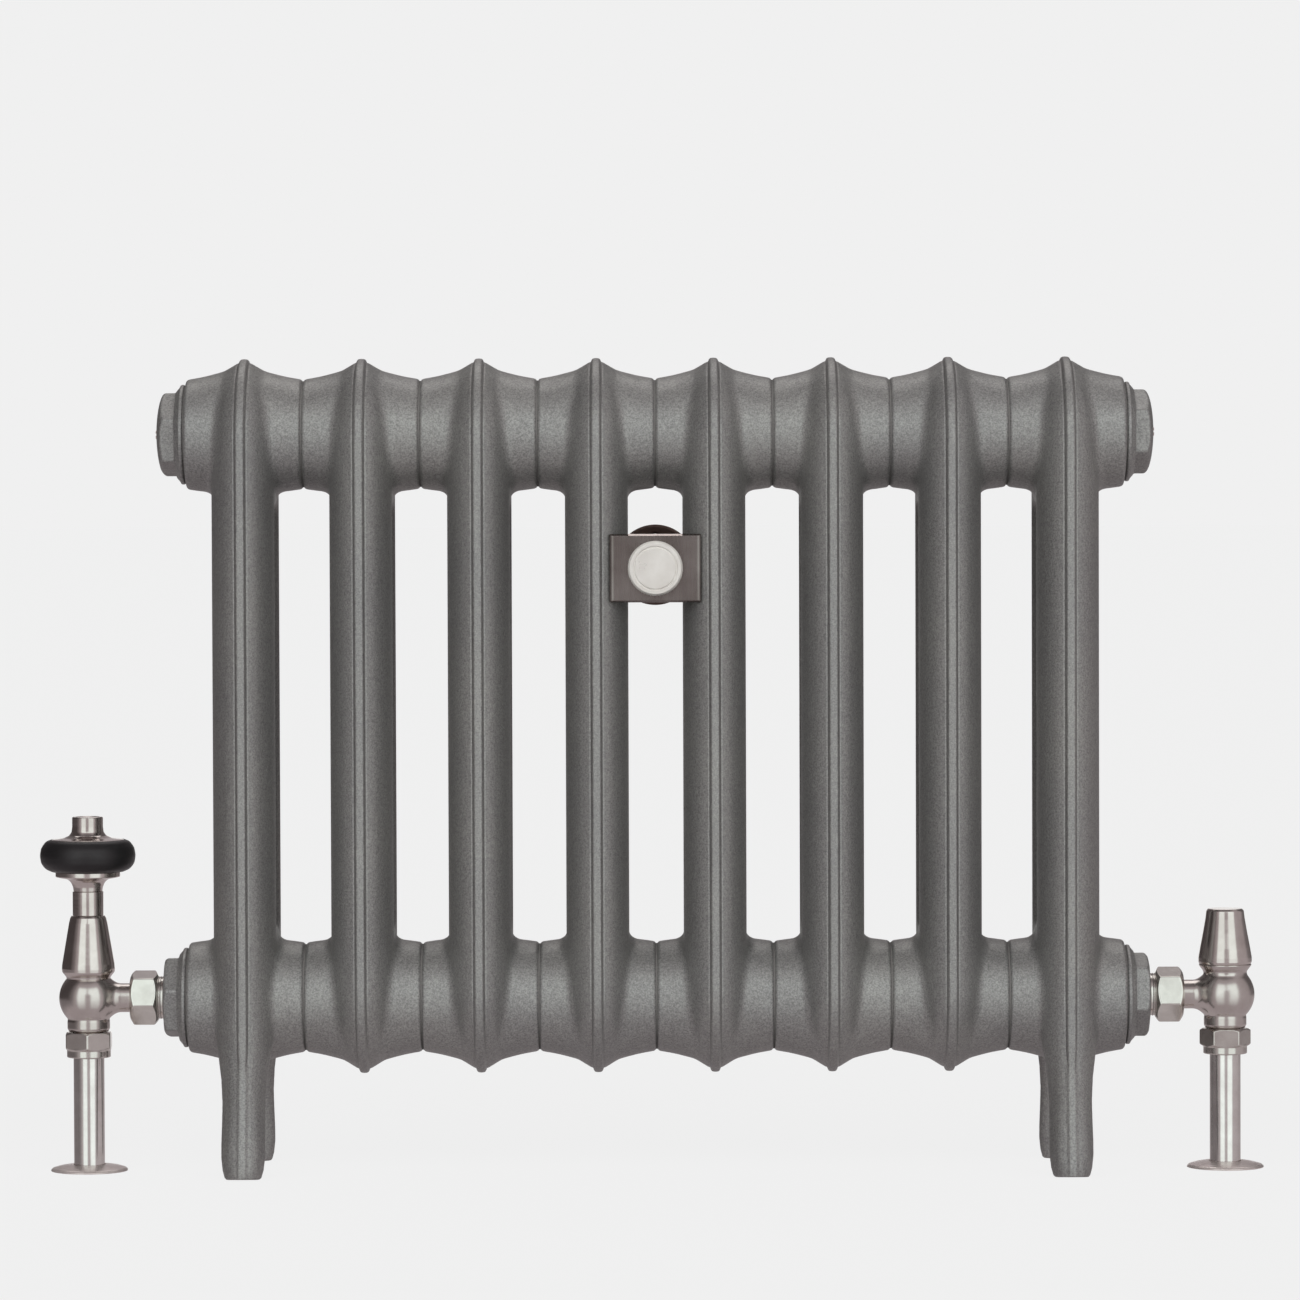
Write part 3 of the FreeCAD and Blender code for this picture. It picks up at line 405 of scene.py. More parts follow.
def iron_paint():
    """Sprayed metallic grey over cast iron: a fine sparkle, an orange-peel
    skin over the sand texture, a slow drift in tone."""
    m = material("iron_paint", srgb(150, 149, 149), metallic=0.68, roughness=0.5)
    fine = noise(m, 1150, 2.0, 0.6)
    grains = noise(m, 620, 2.0, 0.55)
    slow = noise(m, 14, 3.0, 0.5)
    patch = noise(m, 240, 3.0, 0.6)
    base = mixed(m, ranged(m, fine, 0.34, 0.66, 0.0, 1.0), srgb(142, 140, 139), srgb(176, 174, 172))
    tone = node(m, "ShaderNodeMix", data_type="RGBA", blend_type="MULTIPLY")
    tone.inputs[0].default_value = 1.0
    link(m, base, tone.inputs[6])
    link(m, mixed(m, ranged(m, grains, 0.3, 0.7, 0.0, 1.0), (0.86, 0.86, 0.865), (1.10, 1.10, 1.095)), tone.inputs[7])
    drift = node(m, "ShaderNodeMix", data_type="RGBA", blend_type="MULTIPLY")
    drift.inputs[0].default_value = 1.0
    link(m, tone.outputs[2], drift.inputs[6])
    link(m, mixed(m, ranged(m, slow, 0.3, 0.7, 0.0, 1.0), (0.93, 0.93, 0.94), (1.05, 1.05, 1.04)), drift.inputs[7])
    link(m, drift.outputs[2], shader(m).inputs["Base Color"])
    link(m, ranged(m, patch, 0.3, 0.7, 0.44, 0.54), shader(m).inputs["Roughness"])
    both = node(m, "ShaderNodeMath", operation="MULTIPLY_ADD")
    link(m, grains, both.inputs[0])
    both.inputs[1].default_value = 0.6
    link(m, patch, both.inputs[2])
    bumped(m, both.outputs[0], 0.36, 0.0006)
    return m


def nickel(name, rough, axis, strength=0.05, low=(206, 199, 194), high=(221, 216, 211), metallic=1.0):
    """Satin nickel plate with the lay of its turning or brushing across one
    axis."""
    m = material(name, srgb(214, 208, 203), metallic=metallic, roughness=rough)
    stretch = {"z": (18, 18, 900), "x": (900, 18, 18), "v": (900, 900, 8), "y": (60, 60, 60)}[axis]
    lay = noise(m, 1.0, 3.0, 0.6, stretch)
    cloud = noise(m, 90, 3.0, 0.6)
    link(m, mixed(m, ranged(m, cloud, 0.3, 0.7, 0.0, 1.0), srgb(*low), srgb(*high)), shader(m).inputs["Base Color"])
    link(m, ranged(m, lay, 0.3, 0.7, rough * 0.75, rough * 1.35), shader(m).inputs["Roughness"])
    bumped(m, lay, strength, 0.0002)
    return m


def gasket_material():
    """Fibre rings, painted over with the sections."""
    m = material("gasket_fibre", srgb(92, 90, 88), roughness=0.7)
    n = noise(m, 900, 3.0, 0.6)
    link(m, mixed(m, n, srgb(98, 95, 93), srgb(124, 121, 119)), shader(m).inputs["Base Color"])
    bumped(m, n, 0.4, 0.0003)
    return m


def grip_material():
    """Satin black moulding with a faint leathery skin."""
    m = material("black_grip", srgb(26, 26, 27), roughness=0.42, Specular_Tint=(1.0, 0.9, 0.93, 1.0))
    n = noise(m, 700, 3.0, 0.6)
    slow = noise(m, 60, 2.0, 0.5)
    link(m, mixed(m, slow, srgb(20, 20, 21), srgb(34, 34, 35)), shader(m).inputs["Base Color"])
    link(m, ranged(m, n, 0.3, 0.7, 0.34, 0.5), shader(m).inputs["Roughness"])
    bumped(m, n, 0.12, 0.0002)
    return m


def plate_material():
    """Dark brushed nickel plate, brushed up and down."""
    m = material("brushed_plate", srgb(121, 114, 111), metallic=1.0, roughness=0.34)
    lay = noise(m, 1.0, 3.0, 0.6, (1600, 300, 14))
    cloud = noise(m, 45, 3.0, 0.6)
    link(m, mixed(m, ranged(m, cloud, 0.3, 0.7, 0.0, 1.0), srgb(122, 113, 110), srgb(144, 136, 133)), shader(m).inputs["Base Color"])
    link(m, ranged(m, lay, 0.3, 0.7, 0.24, 0.3), shader(m).inputs["Roughness"])
    bumped(m, lay, 0.04, 0.0002)
    return m


def plain_metal(name, colour, rough, scale=400):
    m = material(name, colour, metallic=1.0, roughness=rough)
    n = noise(m, scale, 3.0, 0.6)
    dark = tuple(c * 0.8 for c in colour)
    light = tuple(min(1, c * 1.12) for c in colour)
    link(m, mixed(m, n, dark, light), shader(m).inputs["Base Color"])
    link(m, ranged(m, n, 0.3, 0.7, rough * 0.8, rough * 1.25), shader(m).inputs["Roughness"])
    bumped(m, n, 0.05, 0.0002)
    return m


# dark brown metal for the nipples and the wall flange; on the flange its darkness is partly the metal's own and partly
# painted shade for the shadow behind the clamp plate
def dark_metal_and_painted_shade():
    m = material("dark_plate", srgb(104, 84, 76), metallic=0.6, roughness=0.42)
    n = noise(m, 500, 3.0, 0.6)
    link(m, mixed(m, n, srgb(90, 71, 64), srgb(118, 98, 90)), shader(m).inputs["Base Color"])
    bumped(m, n, 0.08, 0.0002)
    return m


MAT = {
    "iron": iron_paint(),
    "nickel_turned": nickel("nickel_turned", 0.14, "z", 0.05, (203, 193, 189), (218, 209, 205)),
    "nickel_across": nickel("nickel_across", 0.15, "x"),
    "nickel_drawn": nickel("nickel_drawn", 0.15, "v", 0.05, (224, 218, 215), (241, 237, 234)),
    "nickel_cast": nickel("nickel_cast", 0.19, "y", 0.02, (199, 190, 186), (213, 205, 201)),
    "nickel_union": nickel("nickel_union", 0.16, "y", 0.02, (215, 211, 205), (231, 228, 222)),
    "nickel_nut": nickel("nickel_nut", 0.16, "y", 0.02),
    "nickel_rosette": nickel("nickel_rosette", 0.3, "z", 0.03, (211, 198, 195), (226, 214, 211), 0.6),
    "nickel_knob": nickel("nickel_knob", 0.36, "y", 0.02, (224, 219, 213), (238, 234, 229), 0.3),
    # a painted highlight: a bright, nearly matt finish for the clamp plate's top bevel
    "painted_highlight_edge": nickel("painted_highlight_edge", 0.3, "x", 0.02, (238, 220, 215), (244, 229, 224), 0.1),
    "gasket": gasket_material(),
    "grip": grip_material(),
    "plate": plate_material(),
    "copper": plain_metal("copper", srgb(190, 120, 85), 0.35),
    "brass": plain_metal("brass", srgb(186, 160, 105), 0.35),
    "steel": plain_metal("bright_steel", srgb(205, 203, 200), 0.22),
    "vent": plain_metal("vent_metal", srgb(226, 207, 200), 0.3),
    "dark": dark_metal_and_painted_shade(),
    "rubber": grip_material(),
}
MAT["rubber"].name = "valve_rubber"

SLOT_LOOK = {
    "iron_paint": "iron",
    "nipple_iron": "dark",
    "gasket": "gasket",
    "vent_metal": "vent",
    "satin_nickel": "nickel_cast",
    "black_grip": "grip",
    "copper": "copper",
    "brass_plain": "brass",
    "steel": "steel",
    "valve_rubber": "rubber",
    "brushed_plate": "plate",
    # the wall flange's dark look is partly painted shade
    "dark_plate": "dark",
}
slot_of = {row["node"]: row["material_slot"] for row in frame["record"]["subparts"]}
for n, ob in frame["nodes"].items():
    look = MAT[SLOT_LOOK.get(slot_of.get(n), "steel")]
    ob.data.materials.clear()
    ob.data.materials.append(look)

# ---------------------------------------------------------- iron sections

COLUMN = np.vstack(
    [
        smooth_line(
            [
                (0.001, 6.5),
                (5.5, 7.3),
                (10.8, 9.9),
                (15.2, 14.0),
                (17.6, 19.5),
                (17.1, 25.0),
                (15.8, 30.1),
                (14.0, 34.9),
                (12.4, 38.0),
                (10.8, 40.5),
                (9.0, 42.8),
                (6.8, 44.8),
                (4.9, 46.1),
                (4.0, 46.65),
                (3.3, 46.7),
            ]
        ),
        [[0.001, 46.5]],
    ]
)
# lower down on a foot there is no groove beside the bead
FOOT = np.vstack([COLUMN[:61], [[6.8, 44.9], [5.6, 45.8], [4.4, 46.5], [2.8, 47.3], [0.001, 47.8]]])
# a hub is a plain barrel at its sides and flares up to a crest at its far end
CREST = np.vstack(
    [
        smooth_line([(0.001, 41.0), (2.2, 40.6), (3.4, 40.0), (5.6, 38.7), (8.5, 37.25), (12.3, 35.65), (19.0, 33.8), (24.6, 32.5), (31.3, 31.3)]),
        [[32.3, 30.85], [32.85, 30.2], [33.0, 29.4], [33.0, -5.0], [0.001, -5.0]],
    ]
)
BARREL = np.vstack(
    [
        smooth_line([(0.001, 33.6), (10.0, 33.3), (17.0, 32.9), (24.6, 32.2), (31.3, 31.3)]),
        [[32.3, 30.85], [32.85, 30.2], [33.0, 29.4], [33.0, -5.0], [0.001, -5.0]],
    ]
)
RIB = np.array([(0.001, 44.0), (3.3, 44.0), (3.3, 46.4), (3.2, 47.2), (2.8, 48.4), (2.4, 49.3), (2.0, 49.8), (1.3, 50.08), (0.001, 50.2)])
column_at = Table(COLUMN, 40, -6, 90)
crest_at = Table(CREST, 40, -6, 90)
barrel_at = Table(BARREL, 40, -6, 90)
rib_at = Table(RIB, 12, 38, 60, 0.05)
foot_at = Table(FOOT, 40, -6, 90)

FOOT_Z = [-4.0, 0.0, 1.5, 5.0, 12.0, 20.0, 30.0, 42.0, 55.0, 69.0, 84.0, 105.5]
FOOT_HALF = [9.6, 10.0, 10.6, 11.6, 12.45, 12.5, 12.25, 12.1, 12.9, 14.8, 16.4, 17.6]
FOOT_IN = [42.5, 42.0, 41.4, 40.2, 38.6, 36.6, 33.6, 30.0, 25.6, 20.4, 13.5, 6.5]
FOOT_OUT = [59.6, 60.0, 60.3, 60.45, 59.7, 58.1, 55.5, 52.6, 50.4, 49.2, 48.9, 48.9]


def step_to(x, a, b):
    t = np.clip((x - a) / (b - a), 0, 1)
    return t * t * (3 - 2 * t)


def section_field(feet):
    def f(x, y, z):
        a = np.abs(y)
        over = np.maximum(z - ARCH_Z[1], 0) - np.maximum(ARCH_Z[0] - z, 0)
        q = np.hypot(a, over)
        x0 = x + 0 * q
        d = column_at(x0, q)
        d_rib = rib_at(x0, q)
        if feet:
            half = np.interp(z, FOOT_Z, FOOT_HALF)
            near = np.interp(z, FOOT_Z, FOOT_IN)
            far = np.interp(z, FOOT_Z, FOOT_OUT)
            sx, sq = half / 17.6, (far - near) / 42.4
            v = 6.5 + (a - near) / sq
            upper = step_to(z, 50.0, 74.0)
            foot = column_at(x0 / sx, v + 0 * x0) * upper + foot_at(x0 / sx, v + 0 * x0) * (1 - upper)
            foot = foot * np.minimum(sx, sq)
            # lower down the outline turns into a rounded bar
            px = np.abs(x0) - (half - 4.6)
            py = np.abs(a + 0 * x0 - (near + far) / 2) - ((far - near) / 2 - 4.6)
            bar = np.hypot(np.maximum(px, 0), np.maximum(py, 0)) + np.minimum(np.maximum(px, py), 0) - 4.6
            bar = bar + 0.0075 * x0 * x0
            share = 0.1 * (1 - step_to(z, 14.0, 62.0))
            foot = foot * (1 - share) + bar * share
            foot = smax(foot, -z + 0 * foot, 0.7)
            k = np.clip((ARCH_Z[0] - z) / 4, 0.05, 6.0)
            low = z < ARCH_Z[0]
            d = np.where(low, smin(d, foot, k), d)
            sink = 1.95 * (1 - upper)
            down = rib_at(x0 * (1.5 - 0.5 * upper), a + 48.9 - far + sink + 0 * x0)
            down = np.maximum(down, 1.2 - z)
            d_rib = np.where(low, down, d_rib)
        for n, hz in enumerate(HUB_Z):
            out = (z - hz) if n else (hz - z)
            r = np.hypot(y, z - hz) + 0 * x0
            share = step_to(out / np.maximum(r, 1.0), 0.38, 0.92)
            hub = barrel_at(x0, r) * (1 - share) + crest_at(x0, r) * share
            # a web closes the gap between the tubes where they meet the hub
            web = smax(np.abs(x0) - 17.3, np.abs(y) - 15.0 + 0 * r, 3.0)
            web = smax(web, -out - 41.5 + 0 * r, 5.0)
            web = np.maximum(web, out + 0 * r)
            hub = smin(hub, web, 6.5)
            k = 4.6 - 1.9 * step_to(out, 4.0, 28.0)
            d = smin(d, hub, k)
        if feet:
            both = smin(d, d_rib, 0.2 + 3.2 * (1 - step_to(z, 50.0, 74.0)))
            # the sole rises a little towards the toe
            return smax(both, 0.13 * np.maximum(a - far + 9, 0) - z + 0 * both, 0.4)
        return smin(d, d_rib, 0.2)

    return f


def section_mesh(feet):
    xs = both_ways((0, 1.5, 0.5), (1.5, 4.0, 0.25), (4.0, 6.0, 0.5), (6.0, 9, 1.0), (9, 28, 1.6), (28, 34.2, 0.62))
    ys = [(0, 5, 1.7), (5, 9, 1.0), (9, 44, 1.6), (44, 46.5, 0.8), (46.5, 52.2, 0.475)]
    ys = both_ways(*ys, *([(52.2, 63.0, 0.9)] if feet else []))
    low = [(-1.2, 6, 0.6), (6, 52, 1.9)] if feet else []
    start = 52.0 if feet else 53.6
    zs = grid(
        *low,
        (start, 60, 0.5),
        (60, 128, 1.5),
        (128, 142, 1.6),
        (142, 374, 8.0),
        (374, 388, 1.6),
        (388, 455, 1.5),
        (455, 463.0, 0.5),
    )
    return skin(section_field(feet), xs, ys, zs)


plain_co, plain_faces = section_mesh(False)
foot_co, foot_faces = section_mesh(True)
for k in range(8):
    x = (k - 3.5) * PITCH
    end = k in (0, 7)
    name = {0: "end_section_left", 7: "end_section_right"}.get(k, "section_%d" % (k + 1))
    co = (foot_co if end else plain_co) + [x, 0, 0]
    new_object(name + "_casting", co, foot_faces if end else plain_faces, MAT["iron"], "radiator", (name,))
print("section points", len(plain_co), len(foot_co))

# ---------------------------------------------------- hexagons and plugs


def hexagon_at(p, q, corner, first, k):
    """Distance to a hexagon about the origin; first is the angle of one
    corner from the q axis towards p, in degrees."""
    flat = corner * math.cos(math.pi / 6)
    d = None
    for i in range(6):
        a = math.radians(first + 30 + 60 * i)
        s = p * math.sin(a) + q * math.cos(a) - flat
        d = s if d is None else smax(d, s, k)
    return d


def profile_at(points, step=0.25, margin=6.0):
    """Distance to a turned outline of (height, radius) points as a table."""
    pts = np.array(points, float)
    lo, hi = pts.min(0) - margin, pts.max(0) + margin
    u, v = np.arange(lo[0], hi[0] + step, step), np.arange(lo[1], hi[1] + step, step)
    uu, vv = np.meshgrid(u, v, indexing="ij")
    t = outline_distance(pts, uu, vv)

    def f(h, r):
        a = np.clip((h - lo[0]) / step, 0, len(u) - 1.001)
        b = np.clip((r - lo[1]) / step, 0, len(v) - 1.001)
        i, j = a.astype(np.int32), b.astype(np.int32)
        a, b = a - i, b - j
        return (t[i, j] * (1 - a) + t[i + 1, j] * a) * (1 - b) + (t[i, j + 1] * (1 - a) + t[i + 1, j + 1] * a) * b

    return f


def outward(co, side, height):
    """Points whose first coordinate runs outwards from an end face."""
    s = -1.0 if side == "left" else 1.0
    out = co.copy()
    out[:, 0] = s * (END_X + co[:, 0])
    out[:, 2] = co[:, 2] + height
    return out


def wind(faces, side):
    return faces[:, ::-1].copy() if side == "left" else faces


def plug_mesh(domed, corner, bore, recess):
    flange = profile_at(
        [(u, r) for r, u in rounded([(-6, 0.4), (28.3, 0.4, 1.0), (28.3, 2.7, 1.1), (26.9, 3.3, 0.5), (24.7, 5.2, 0.6), (-6, 5.2)])]
    )
    if domed:
        crown = smooth_line([(0, 16.6), (8, 16.4), (16, 15.3), (21.6, 13.6), (25.6, 10.9)], 5)
    else:
        crown = smooth_line([(0, 13.6), (15.0, 13.6), (20.6, 13.5), (22.2, 13.0), (25.4, 11.2)], 5)

    def f(u, y, z):
        r = np.hypot(y, z)
        d = flange(u + 0 * r, r + 0 * u)
        head = hexagon_at(y, z, 24.2, corner, 1.1)
        top = (u - np.interp(r, crown[:, 0], crown[:, 1])) * 0.94
        head = smax(head + 0 * u, top, 1.4)
        head = np.maximum(head, 2.0 - u)
        d = smin(d, head, 1.2)
        hole = smax(r - bore + 0 * u, recess - u, 0.3)
        return smax(d, -hole, 0.6)

    h = 0.42
    us = grid((0.1, 17.2, h))
    ys = grid((-29.2, 29.2, h))
    return skin(f, us, ys, ys)


for name, side, height, domed, corner, bore, recess in (
    ("top_plug_left", "left", HUB_Z[1], True, 50.0, 4.1, 13.6),
    ("top_plug_right", "right", HUB_Z[1], True, 0.0, 4.1, 13.6),
    ("bottom_bush_left", "left", HUB_Z[0], False, 43.0, 10.6, 6.0),
    ("bottom_bush_right", "right", HUB_Z[0], False, 13.0, 10.6, 6.0),
):
    co, faces = plug_mesh(domed, corner, bore, recess)
    new_object(name + "_head", outward(co, side, height), wind(faces, side), MAT["iron"], "radiator", (name,))

# ------------------------------------------------------------- union nuts


def nut_mesh(corner, first, low, high, bore, chamfer, h=0.3, collar=None):
    """A chamfered hexagon nut along u, with an optional turned collar
    (radius, low, high)."""

    def f(u, y, z):
        r = np.hypot(y, z)
        hexa = hexagon_at(y, z, corner, first, 0.5)
        mid, half = (low + high) / 2, (high - low) / 2
        end = np.abs(u - mid) - half
        cone = (r - (corner + 0.15) + (np.abs(u - mid) - (half - chamfer)) * 1.55) * 0.54
        d = smax(smax(hexa + 0 * u, end, 0.5), cone, 0.5)
        if collar:
            rad, a, b = collar
            ring = smax(r - rad + 0 * u, np.abs(u - (a + b) / 2) - (b - a) / 2, 0.7)
            d = smin(d, ring, 0.5)
        return smax(d, bore - r + 0 * u, 0.5)

    lo = min(low, collar[1]) if collar else low
    us = grid((lo - 0.7, high + 0.7, h))
    ys = grid((-corner - 0.8, corner + 0.8, h))
    return skin(f, us, ys, ys)


for prefix, side, first in (("trv", "left", -17.0), ("lockshield", "right", -13.0)):
    co, faces = nut_mesh(15.95, first, 17.2, 33.4, 9.0, 2.5)
    # a wider counterbore on the tail's side is hidden by the tail's thread
    co = co * [1, -1, 1]
    faces = faces[:, ::-1].copy()
    new_object(prefix + "_union_nut_hex", outward(co, side, HUB_Z[0]), wind(faces, side), MAT["nickel_union"], "radiator", (prefix + "_union_nut",))

# ---------------------------------------------------------- valve bodies


def body_mesh(top):
    """Ball, arm, lower neck and top ledge, in the plane of the valve axis;
    the first coordinate runs from the valve towards the radiator."""
    neck = profile_at(
        [(z, r) for r, z in rounded([(-6, 79.4), (11.2, 79.4, 0.3), (12.1, 81.2, 0.8), (12.1, 85.6, 1.2), (11.0, 88.0), (-6, 96.0)])]
    )
    ledge = profile_at([(z, r) for r, z in rounded(top)])
    arm = profile_at(
        [(u, r) for r, u in rounded([(-6, 4.0), (8.2, 4.0), (8.2, 25.9, 0.5), (12.2, 25.9, 0.4), (12.2, 29.8, 0.4), (-6, 29.8)])]
    )

    def f(u, y, z):
        r = np.hypot(u, y)
        across = np.hypot(y, z - 98.5)
        ball = np.sqrt(u * u + y * y + (z - 98.5) ** 2) - 16.7
        d = smin(ball, arm(u + 0 * across, across + 0 * u), 4.0)
        d = smin(d, neck(z + 0 * r, r + 0 * z), 1.0)
        return smin(d, ledge(z + 0 * r, r + 0 * z), 0.8)

    h = 0.34
    return skin(f, grid((-17.6, 30.6, h)), grid((-17.6, 17.6, h)), grid((78.6, 117.0, h)))


for prefix, side, top in (
    ("trv", "left", [(-6, 104.0), (12.25, 104.0), (12.25, 109.0, 0.4), (-6, 109.0)]),
    ("lockshield", "right", [(-6, 104.0), (12.4, 104.0), (12.4, 111.6, 1.5), (14.9, 115.0, 0.5), (14.9, 115.8, 0.3), (-6, 115.8)]),
):
    co, faces = body_mesh(top)
    s = 1.0 if side == "left" else -1.0
    co = co * [s, 1, 1] + [-VALVE_X * s, 0, 0]
    if s < 0:
        faces = faces[:, ::-1].copy()
    new_object(prefix + "_valve_casting", co, faces, MAT["nickel_cast"], "radiator", (prefix + "_valve_body",))

for prefix, side, first in (("trv", "left", -1.5), ("lockshield", "right", 32.0)):
    co, faces = nut_mesh(14.65, first, 69.0, 79.2, 9.2, 1.3, collar=(12.45, 64.7, 70.0))
    # the nut's own axis becomes the valve's; its corner angle is from -Y
    co = np.stack([-co[:, 1], -co[:, 2], co[:, 0]], 1)
    s = -1.0 if side == "left" else 1.0
    new_object(prefix + "_compression_nut_hex", co + [s * VALVE_X, 0, 0], faces, MAT["nickel_nut"], "radiator", (prefix + "_compression_nut",))

# the seals squeeze out almost to the flanges' rims
for which, height in (("top", HUB_Z[1]), ("bottom", HUB_Z[0])):
    co, faces = [], []
    for side, s in (("left", -1.0), ("right", 1.0)):
        ring_co, ring_faces = turned([(23.0, -0.2), (27.95, -0.2), (27.95, 0.36), (23.0, 0.36)], (s * END_X, 0, height), side, 128)
        faces += [tuple(k + len(co) for k in face) for face in ring_faces]
        co += list(ring_co)
    node_name = "end_seals_" + which
    new_object(node_name + "_rings", np.array(co), faces, MAT["gasket"], "radiator", (node_name,), 40)

# ---------------------------------------------------------- turned pieces

for prefix, side in (("trv", "left"), ("lockshield", "right")):
    s = -1.0 if side == "left" else 1.0
    end = (s * END_X, 0, HUB_Z[0])
    axis = (s * VALVE_X, 0, 0)
    # tail: plain shank out of the bush, then the collar with its thread
    thread = []
    u = 15.6
    while u < 25.2:
        thread += [(11.9, u, 0.2), (12.2, u + 0.35, 0.2), (12.2, u + 0.65, 0.2), (11.9, u + 1.0, 0.2)]
        u += 1.3
    lathe(
        prefix + "_tail_turned",
        [(7.0, 6.0), (10.3, 6.0), (10.3, 13.0), (11.4, 13.6, 0.3), (12.2, 14.4, 0.5)] + thread + [(12.2, 26.0), (7.0, 26.0)],
        end,
        side,
        MAT["nickel_across"],
        "radiator",
        (prefix + "_tail",),
    )
    lathe(
        "pipe_sleeve_%s_tube" % side,
        [(7.8, 1.0), (8.75, 1.0, 0.2), (8.75, 64.5, 0.3), (7.8, 64.5)],
        axis,
        "up",
        MAT["nickel_drawn"],
        "radiator",
        ("pipe_sleeve_" + side,),
        128,
    )
    lathe(
        "floor_rosette_%s_dish" % side,
        [
            (9.05, 0.0),
            (21.8, 0.0, 0.2),
            (21.8, 0.7, 0.3),
            (20.8, 1.6, 1.2),
            (17.3, 2.6, 6.0),
            (13.0, 3.3, 5.0),
            (10.4, 3.6, 1.0),
            (9.05, 3.6, 0.2),
        ],
        axis,
        "up",
        MAT["nickel_rosette"],
        "floor_rosette_" + side,
        ("floor_rosette_" + side,),
        144,
    )

TRV = (-VALVE_X, 0, 0)
lathe(
    "trv_bonnet_shell",
    [
        (9.0, 109.0),
        (12.3, 109.0, 0.3),
        (12.7, 110.6, 0.8),
        (14.9, 113.4, 1.6),
        (15.1, 115.4, 2.0),
        (14.9, 118.0, 4.0),
        (10.9, 141.4, 2.0),
        (10.2, 144.2, 0.8),
        (9.4, 145.4, 0.4),
        (4.2, 145.4),
        (4.2, 141.8),
        (9.0, 116.0),
    ],
    TRV,
    "up",
    MAT["nickel_turned"],
    "radiator",
    ("trv_bonnet",),
    128,
)
lathe(
    "trv_guide_sleeve_tube",
    [(2.1, 145.5), (8.75, 145.5, 0.3), (8.75, 159.2, 0.4), (2.1, 159.2)],
    TRV,
    "up",
    MAT["nickel_turned"],
    "radiator",
    ("trv_guide_sleeve",),
    128,
)
lathe(
    "trv_head_hub_turned",
    [
        (2.2, 159.25),
        (8.2, 159.25, 0.3),
        (8.5, 161.6, 3.0),
        (9.5, 164.2, 4.0),
        (11.6, 166.2, 3.0),
        (16.4, 167.1, 2.0),
        (18.4, 167.6, 0.5),
        (18.4, 170.4, 0.3),
        (2.2, 170.4),
    ],
    TRV,
    "up",
    MAT["nickel_turned"],
    "trv_head",
    ("trv_head_hub",),
    128,
)
lathe(
    "trv_grip_ring_moulding",
    [
        (17.4, 170.45),
        (20.4, 170.45, 1.5),
        (24.0, 172.0, 6.0),
        (26.5, 175.3, 6.0),
        (27.15, 179.6, 7.0),
        (26.5, 184.0, 6.0),
        (23.8, 187.7, 5.0),
        (21.0, 188.7, 0.8),
        (20.6, 187.9, 0.2),
        (17.4, 187.9),
    ],
    TRV,
    "up",
    MAT["grip"],
    "trv_head",
    ("trv_grip_ring",),
    144,
)
lathe(
    "trv_finial_turned",
    [
        (0.0, 186.0),
        (20.4, 188.0),
        (20.45, 188.6, 0.2),
        (19.6, 188.9, 0.5),
        (13.6, 189.6, 4.0),
        (10.6, 191.0, 2.5),
        (9.2, 193.0, 2.5),
        (8.8, 196.0, 2.0),
        (8.8, 201.7, 0.9),
        (7.0, 201.7, 0.3),
        (6.4, 201.4, 0.3),
        (0.0, 201.4),
    ],
    TRV,
    "up",
    MAT["nickel_turned"],
    "trv_head",
    ("trv_finial",),
    128,
)


def coil_mesh(radius, wire, pitch, height, low, around=12):
    """A round wire wound up the Z axis, closed at both ends."""
    t = np.linspace(0, 2 * math.pi * height / pitch, int(round(40 * height / pitch)) + 1)
    out = np.stack([np.cos(t), np.sin(t), 0 * t], 1)
    along = np.stack([-radius * np.sin(t), radius * np.cos(t), pitch / (2 * math.pi) + 0 * t], 1)
    along /= np.linalg.norm(along, axis=1)[:, None]
    up = np.cross(out, along)
    line = out * radius + np.stack([0 * t, 0 * t, low + pitch * t / (2 * math.pi)], 1)
    turn = np.linspace(0, 2 * math.pi, around, endpoint=False)
    ring = np.cos(turn)[None, :, None] * out[:, None] + np.sin(turn)[None, :, None] * up[:, None]
    co = (line[:, None] + wire * ring).reshape(-1, 3)
    faces = []
    for i in range(len(t) - 1):
        for j in range(around):
            k = (j + 1) % around
            faces.append((i * around + j, (i + 1) * around + j, (i + 1) * around + k, i * around + k))
    last = (len(t) - 1) * around
    faces.append(tuple(range(around)))
    faces.append(tuple(last + j for j in reversed(range(around))))
    return co, faces


# the return spring stands on the insert; it is drawn as one fixed coil, not moved with the pin
co, faces = coil_mesh(2.85, 0.3, 1.9, 9.5, 111.2)
spring = new_object("trv_return_spring_coil", co + [-VALVE_X, 0, 0], faces, MAT["steel"], None, ("trv_return_spring",), 40)
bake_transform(spring)
lathe(
    "lockshield_cap_turned",
    [
        (13.6, 115.8),
        (14.7, 115.8, 0.4),
        (15.2, 117.2, 0.8),
        (15.2, 119.6, 2.5),
        (14.25, 125.2, 8.0),
        (12.6, 133.8, 20.0),
        (11.2, 141.8, 12.0),
        (10.7, 146.0, 1.0),
        (9.7, 147.2, 0.8),
        (0.0, 147.2),
        (0.0, 145.4),
        (8.9, 145.4),
        (9.6, 141.8),
        (11.0, 133.8),
        (12.4, 125.2),
        (13.6, 120.0),
    ],
    (VALVE_X, 0, 0),
    "up",
    MAT["nickel_turned"],
    "lockshield_cap",
    ("lockshield_cap",),
    128,
)

# --------------------------------------------------------------- wall stay

